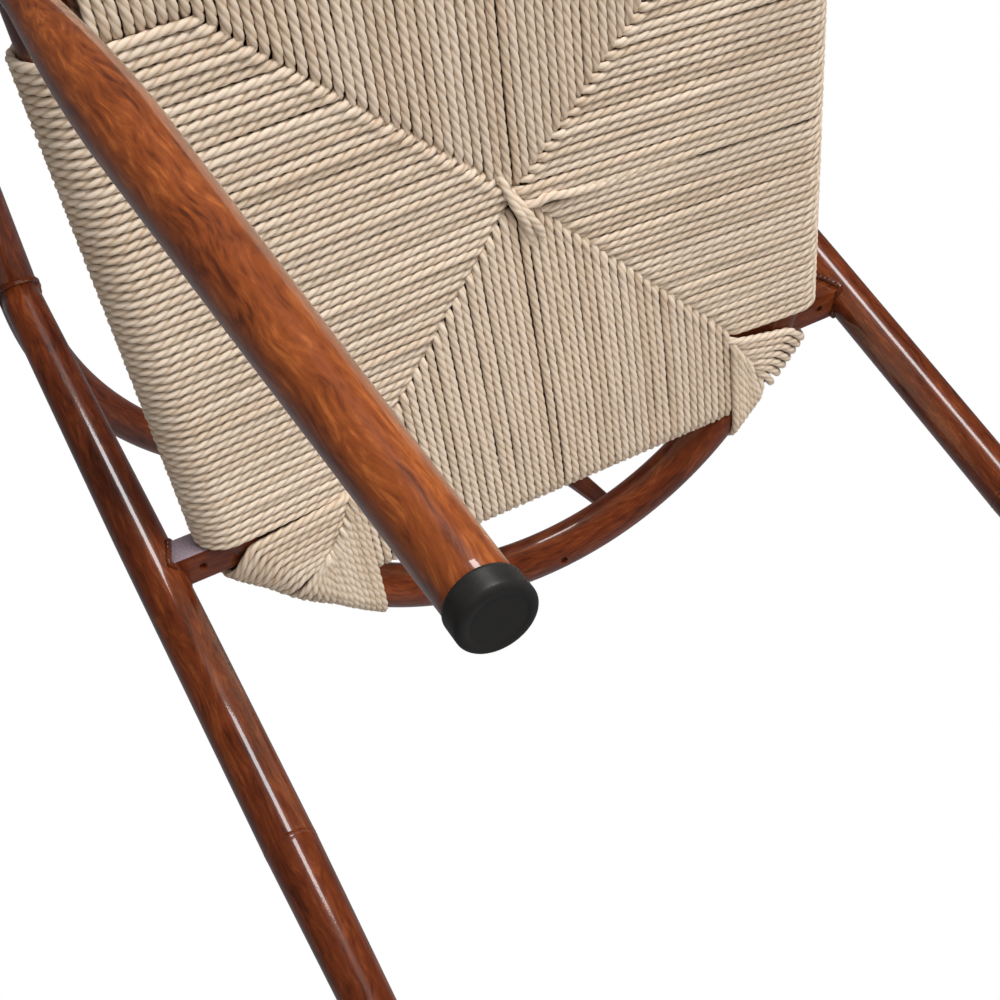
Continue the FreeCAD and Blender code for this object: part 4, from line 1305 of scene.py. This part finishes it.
class ARMCHAIR_OT_seat_frame(bpy.types.Operator):
    """Hoop, front rail, chord bar and square cross rail that carry the seat"""

    bl_idname = "armchair.seat_frame"
    bl_label = "Seat Frame"

    def execute(self, context):
        count = context.scene.armchair_sizes.ring_sides
        lacquer = materials()["grained_lacquer"]
        seat_hoop(lacquer, count)
        x = np.linspace(-FRONT_HALF, FRONT_HALF, 24)
        outline = circle(TUBE_R, count)
        round_rail("front_rail", x, -FRONT_Y, outline, lacquer, (4.7, 1.4, 0.2), True)
        x = np.linspace(-CHORD_HALF, CHORD_HALF, 12)
        round_rail("chord_bar", x, CHORD_Y, circle(CHORD_R, 32), lacquer, (5.2, 1.9, 0.6))
        cross_rail(materials()["grained_lacquer_cross"])
        return {"FINISHED"}


class ARMCHAIR_OT_back(bpy.types.Operator):
    """Top rail with its arms, their end caps and the two back slats"""

    bl_idname = "armchair.back"
    bl_label = "Back and Arms"

    def execute(self, context):
        count = context.scene.armchair_sizes.ring_sides
        lacquer = materials()["grained_lacquer"]
        top_rail(lacquer, count)
        for word, side in SIDES:
            arm_cap(word, side, lacquer, count)
            back_slat(word, side, lacquer)
        return {"FINISHED"}


class ARMCHAIR_OT_welds(bpy.types.Operator):
    """Rippled weld beads at the cross rail, under the arms and at the slats' feet"""

    bl_idname = "armchair.welds"
    bl_label = "Welds"

    def execute(self, context):
        radius = context.scene.armchair_sizes.weld_radius / MM
        for word, side in SIDES:
            welds(word, side, radius, materials()["grained_lacquer_weld"])
        return {"FINISHED"}


class ARMCHAIR_OT_side_cords(bpy.types.Operator):
    """Cords that run across the seat and wrap the side rails"""

    bl_idname = "armchair.side_cords"
    bl_label = "Side Cords"

    def execute(self, context):
        for word, side in SIDES:
            side_cords(word, side, materials()["twisted_paper_cord"])
        return {"FINISHED"}


class ARMCHAIR_OT_front_cords(bpy.types.Operator):
    """Cords that wrap the front rail, in two halves"""

    bl_idname = "armchair.front_cords"
    bl_label = "Front Cords"

    def execute(self, context):
        for word, side in SIDES:
            front_cords(word, side, materials()["twisted_paper_cord"])
        return {"FINISHED"}


class ARMCHAIR_OT_rear_cords(bpy.types.Operator):
    """Cords that wrap the chord bar, over and under the cross rail, in two halves"""

    bl_idname = "armchair.rear_cords"
    bl_label = "Rear Cords"

    def execute(self, context):
        for word, side in SIDES:
            rear_cords(word, side, materials()["twisted_paper_cord"])
        return {"FINISHED"}


class ARMCHAIR_OT_corner_cords(bpy.types.Operator):
    """Cords wound round the bend of the hoop behind the cross rail"""

    bl_idname = "armchair.corner_cords"
    bl_label = "Corner Cords"

    def execute(self, context):
        for word, side in SIDES:
            corner_cords(word, side, materials()["twisted_paper_cord"])
        return {"FINISHED"}


class ARMCHAIR_OT_weave_middle(bpy.types.Operator):
    """Cords that cross at the middle, and the card between the two layers"""

    bl_idname = "armchair.weave_middle"
    bl_label = "Weave Middle"

    def execute(self, context):
        centre_cords(materials()["twisted_paper_cord"])
        stuffing_card(materials()["kraft_card"])
        return {"FINISHED"}


class ARMCHAIR_OT_stage(bpy.types.Operator):
    """Pale floor, soft studio light and the camera"""

    bl_idname = "armchair.stage"
    bl_label = "Stage"

    def execute(self, context):
        make_floor()
        make_walls()
        make_world()
        make_lamps()
        make_camera(context.scene)
        context.scene.view_settings.view_transform = "Standard"
        return {"FINISHED"}


STEPS = (
    ARMCHAIR_OT_legs,
    ARMCHAIR_OT_foot_caps,
    ARMCHAIR_OT_seat_frame,
    ARMCHAIR_OT_back,
    ARMCHAIR_OT_welds,
    ARMCHAIR_OT_side_cords,
    ARMCHAIR_OT_front_cords,
    ARMCHAIR_OT_rear_cords,
    ARMCHAIR_OT_corner_cords,
    ARMCHAIR_OT_weave_middle,
    ARMCHAIR_OT_stage,
)


class ARMCHAIR_PT_panel(bpy.types.Panel):
    """Sizes, colours and steps of the armchair"""

    bl_idname = "ARMCHAIR_PT_panel"
    bl_label = "Armchair"
    bl_space_type = "VIEW_3D"
    bl_region_type = "UI"
    bl_category = "Armchair"

    def draw(self, context):
        layout = self.layout
        for group in (context.scene.armchair_sizes, context.scene.armchair_colours):
            for name in group.__annotations__:
                layout.prop(group, name)
        for step in STEPS:
            layout.operator(step.bl_idname)


CLASSES = (ArmchairSizes, ArmchairColours, *STEPS, ARMCHAIR_PT_panel)


def register():
    for item in CLASSES:
        bpy.utils.register_class(item)
    bpy.types.Scene.armchair_sizes = PointerProperty(type=ArmchairSizes)
    bpy.types.Scene.armchair_colours = PointerProperty(type=ArmchairColours)


def unregister():
    del bpy.types.Scene.armchair_colours
    del bpy.types.Scene.armchair_sizes
    for item in reversed(CLASSES):
        bpy.utils.unregister_class(item)


def main():
    register()
    bpy.ops.armchair.legs()
    bpy.ops.armchair.foot_caps()
    bpy.ops.armchair.seat_frame()
    bpy.ops.armchair.back()
    bpy.ops.armchair.welds()
    bpy.ops.armchair.side_cords()
    bpy.ops.armchair.front_cords()
    bpy.ops.armchair.rear_cords()
    bpy.ops.armchair.corner_cords()
    bpy.ops.armchair.weave_middle()
    bpy.ops.armchair.stage()


if __name__ == "__main__":
    main()
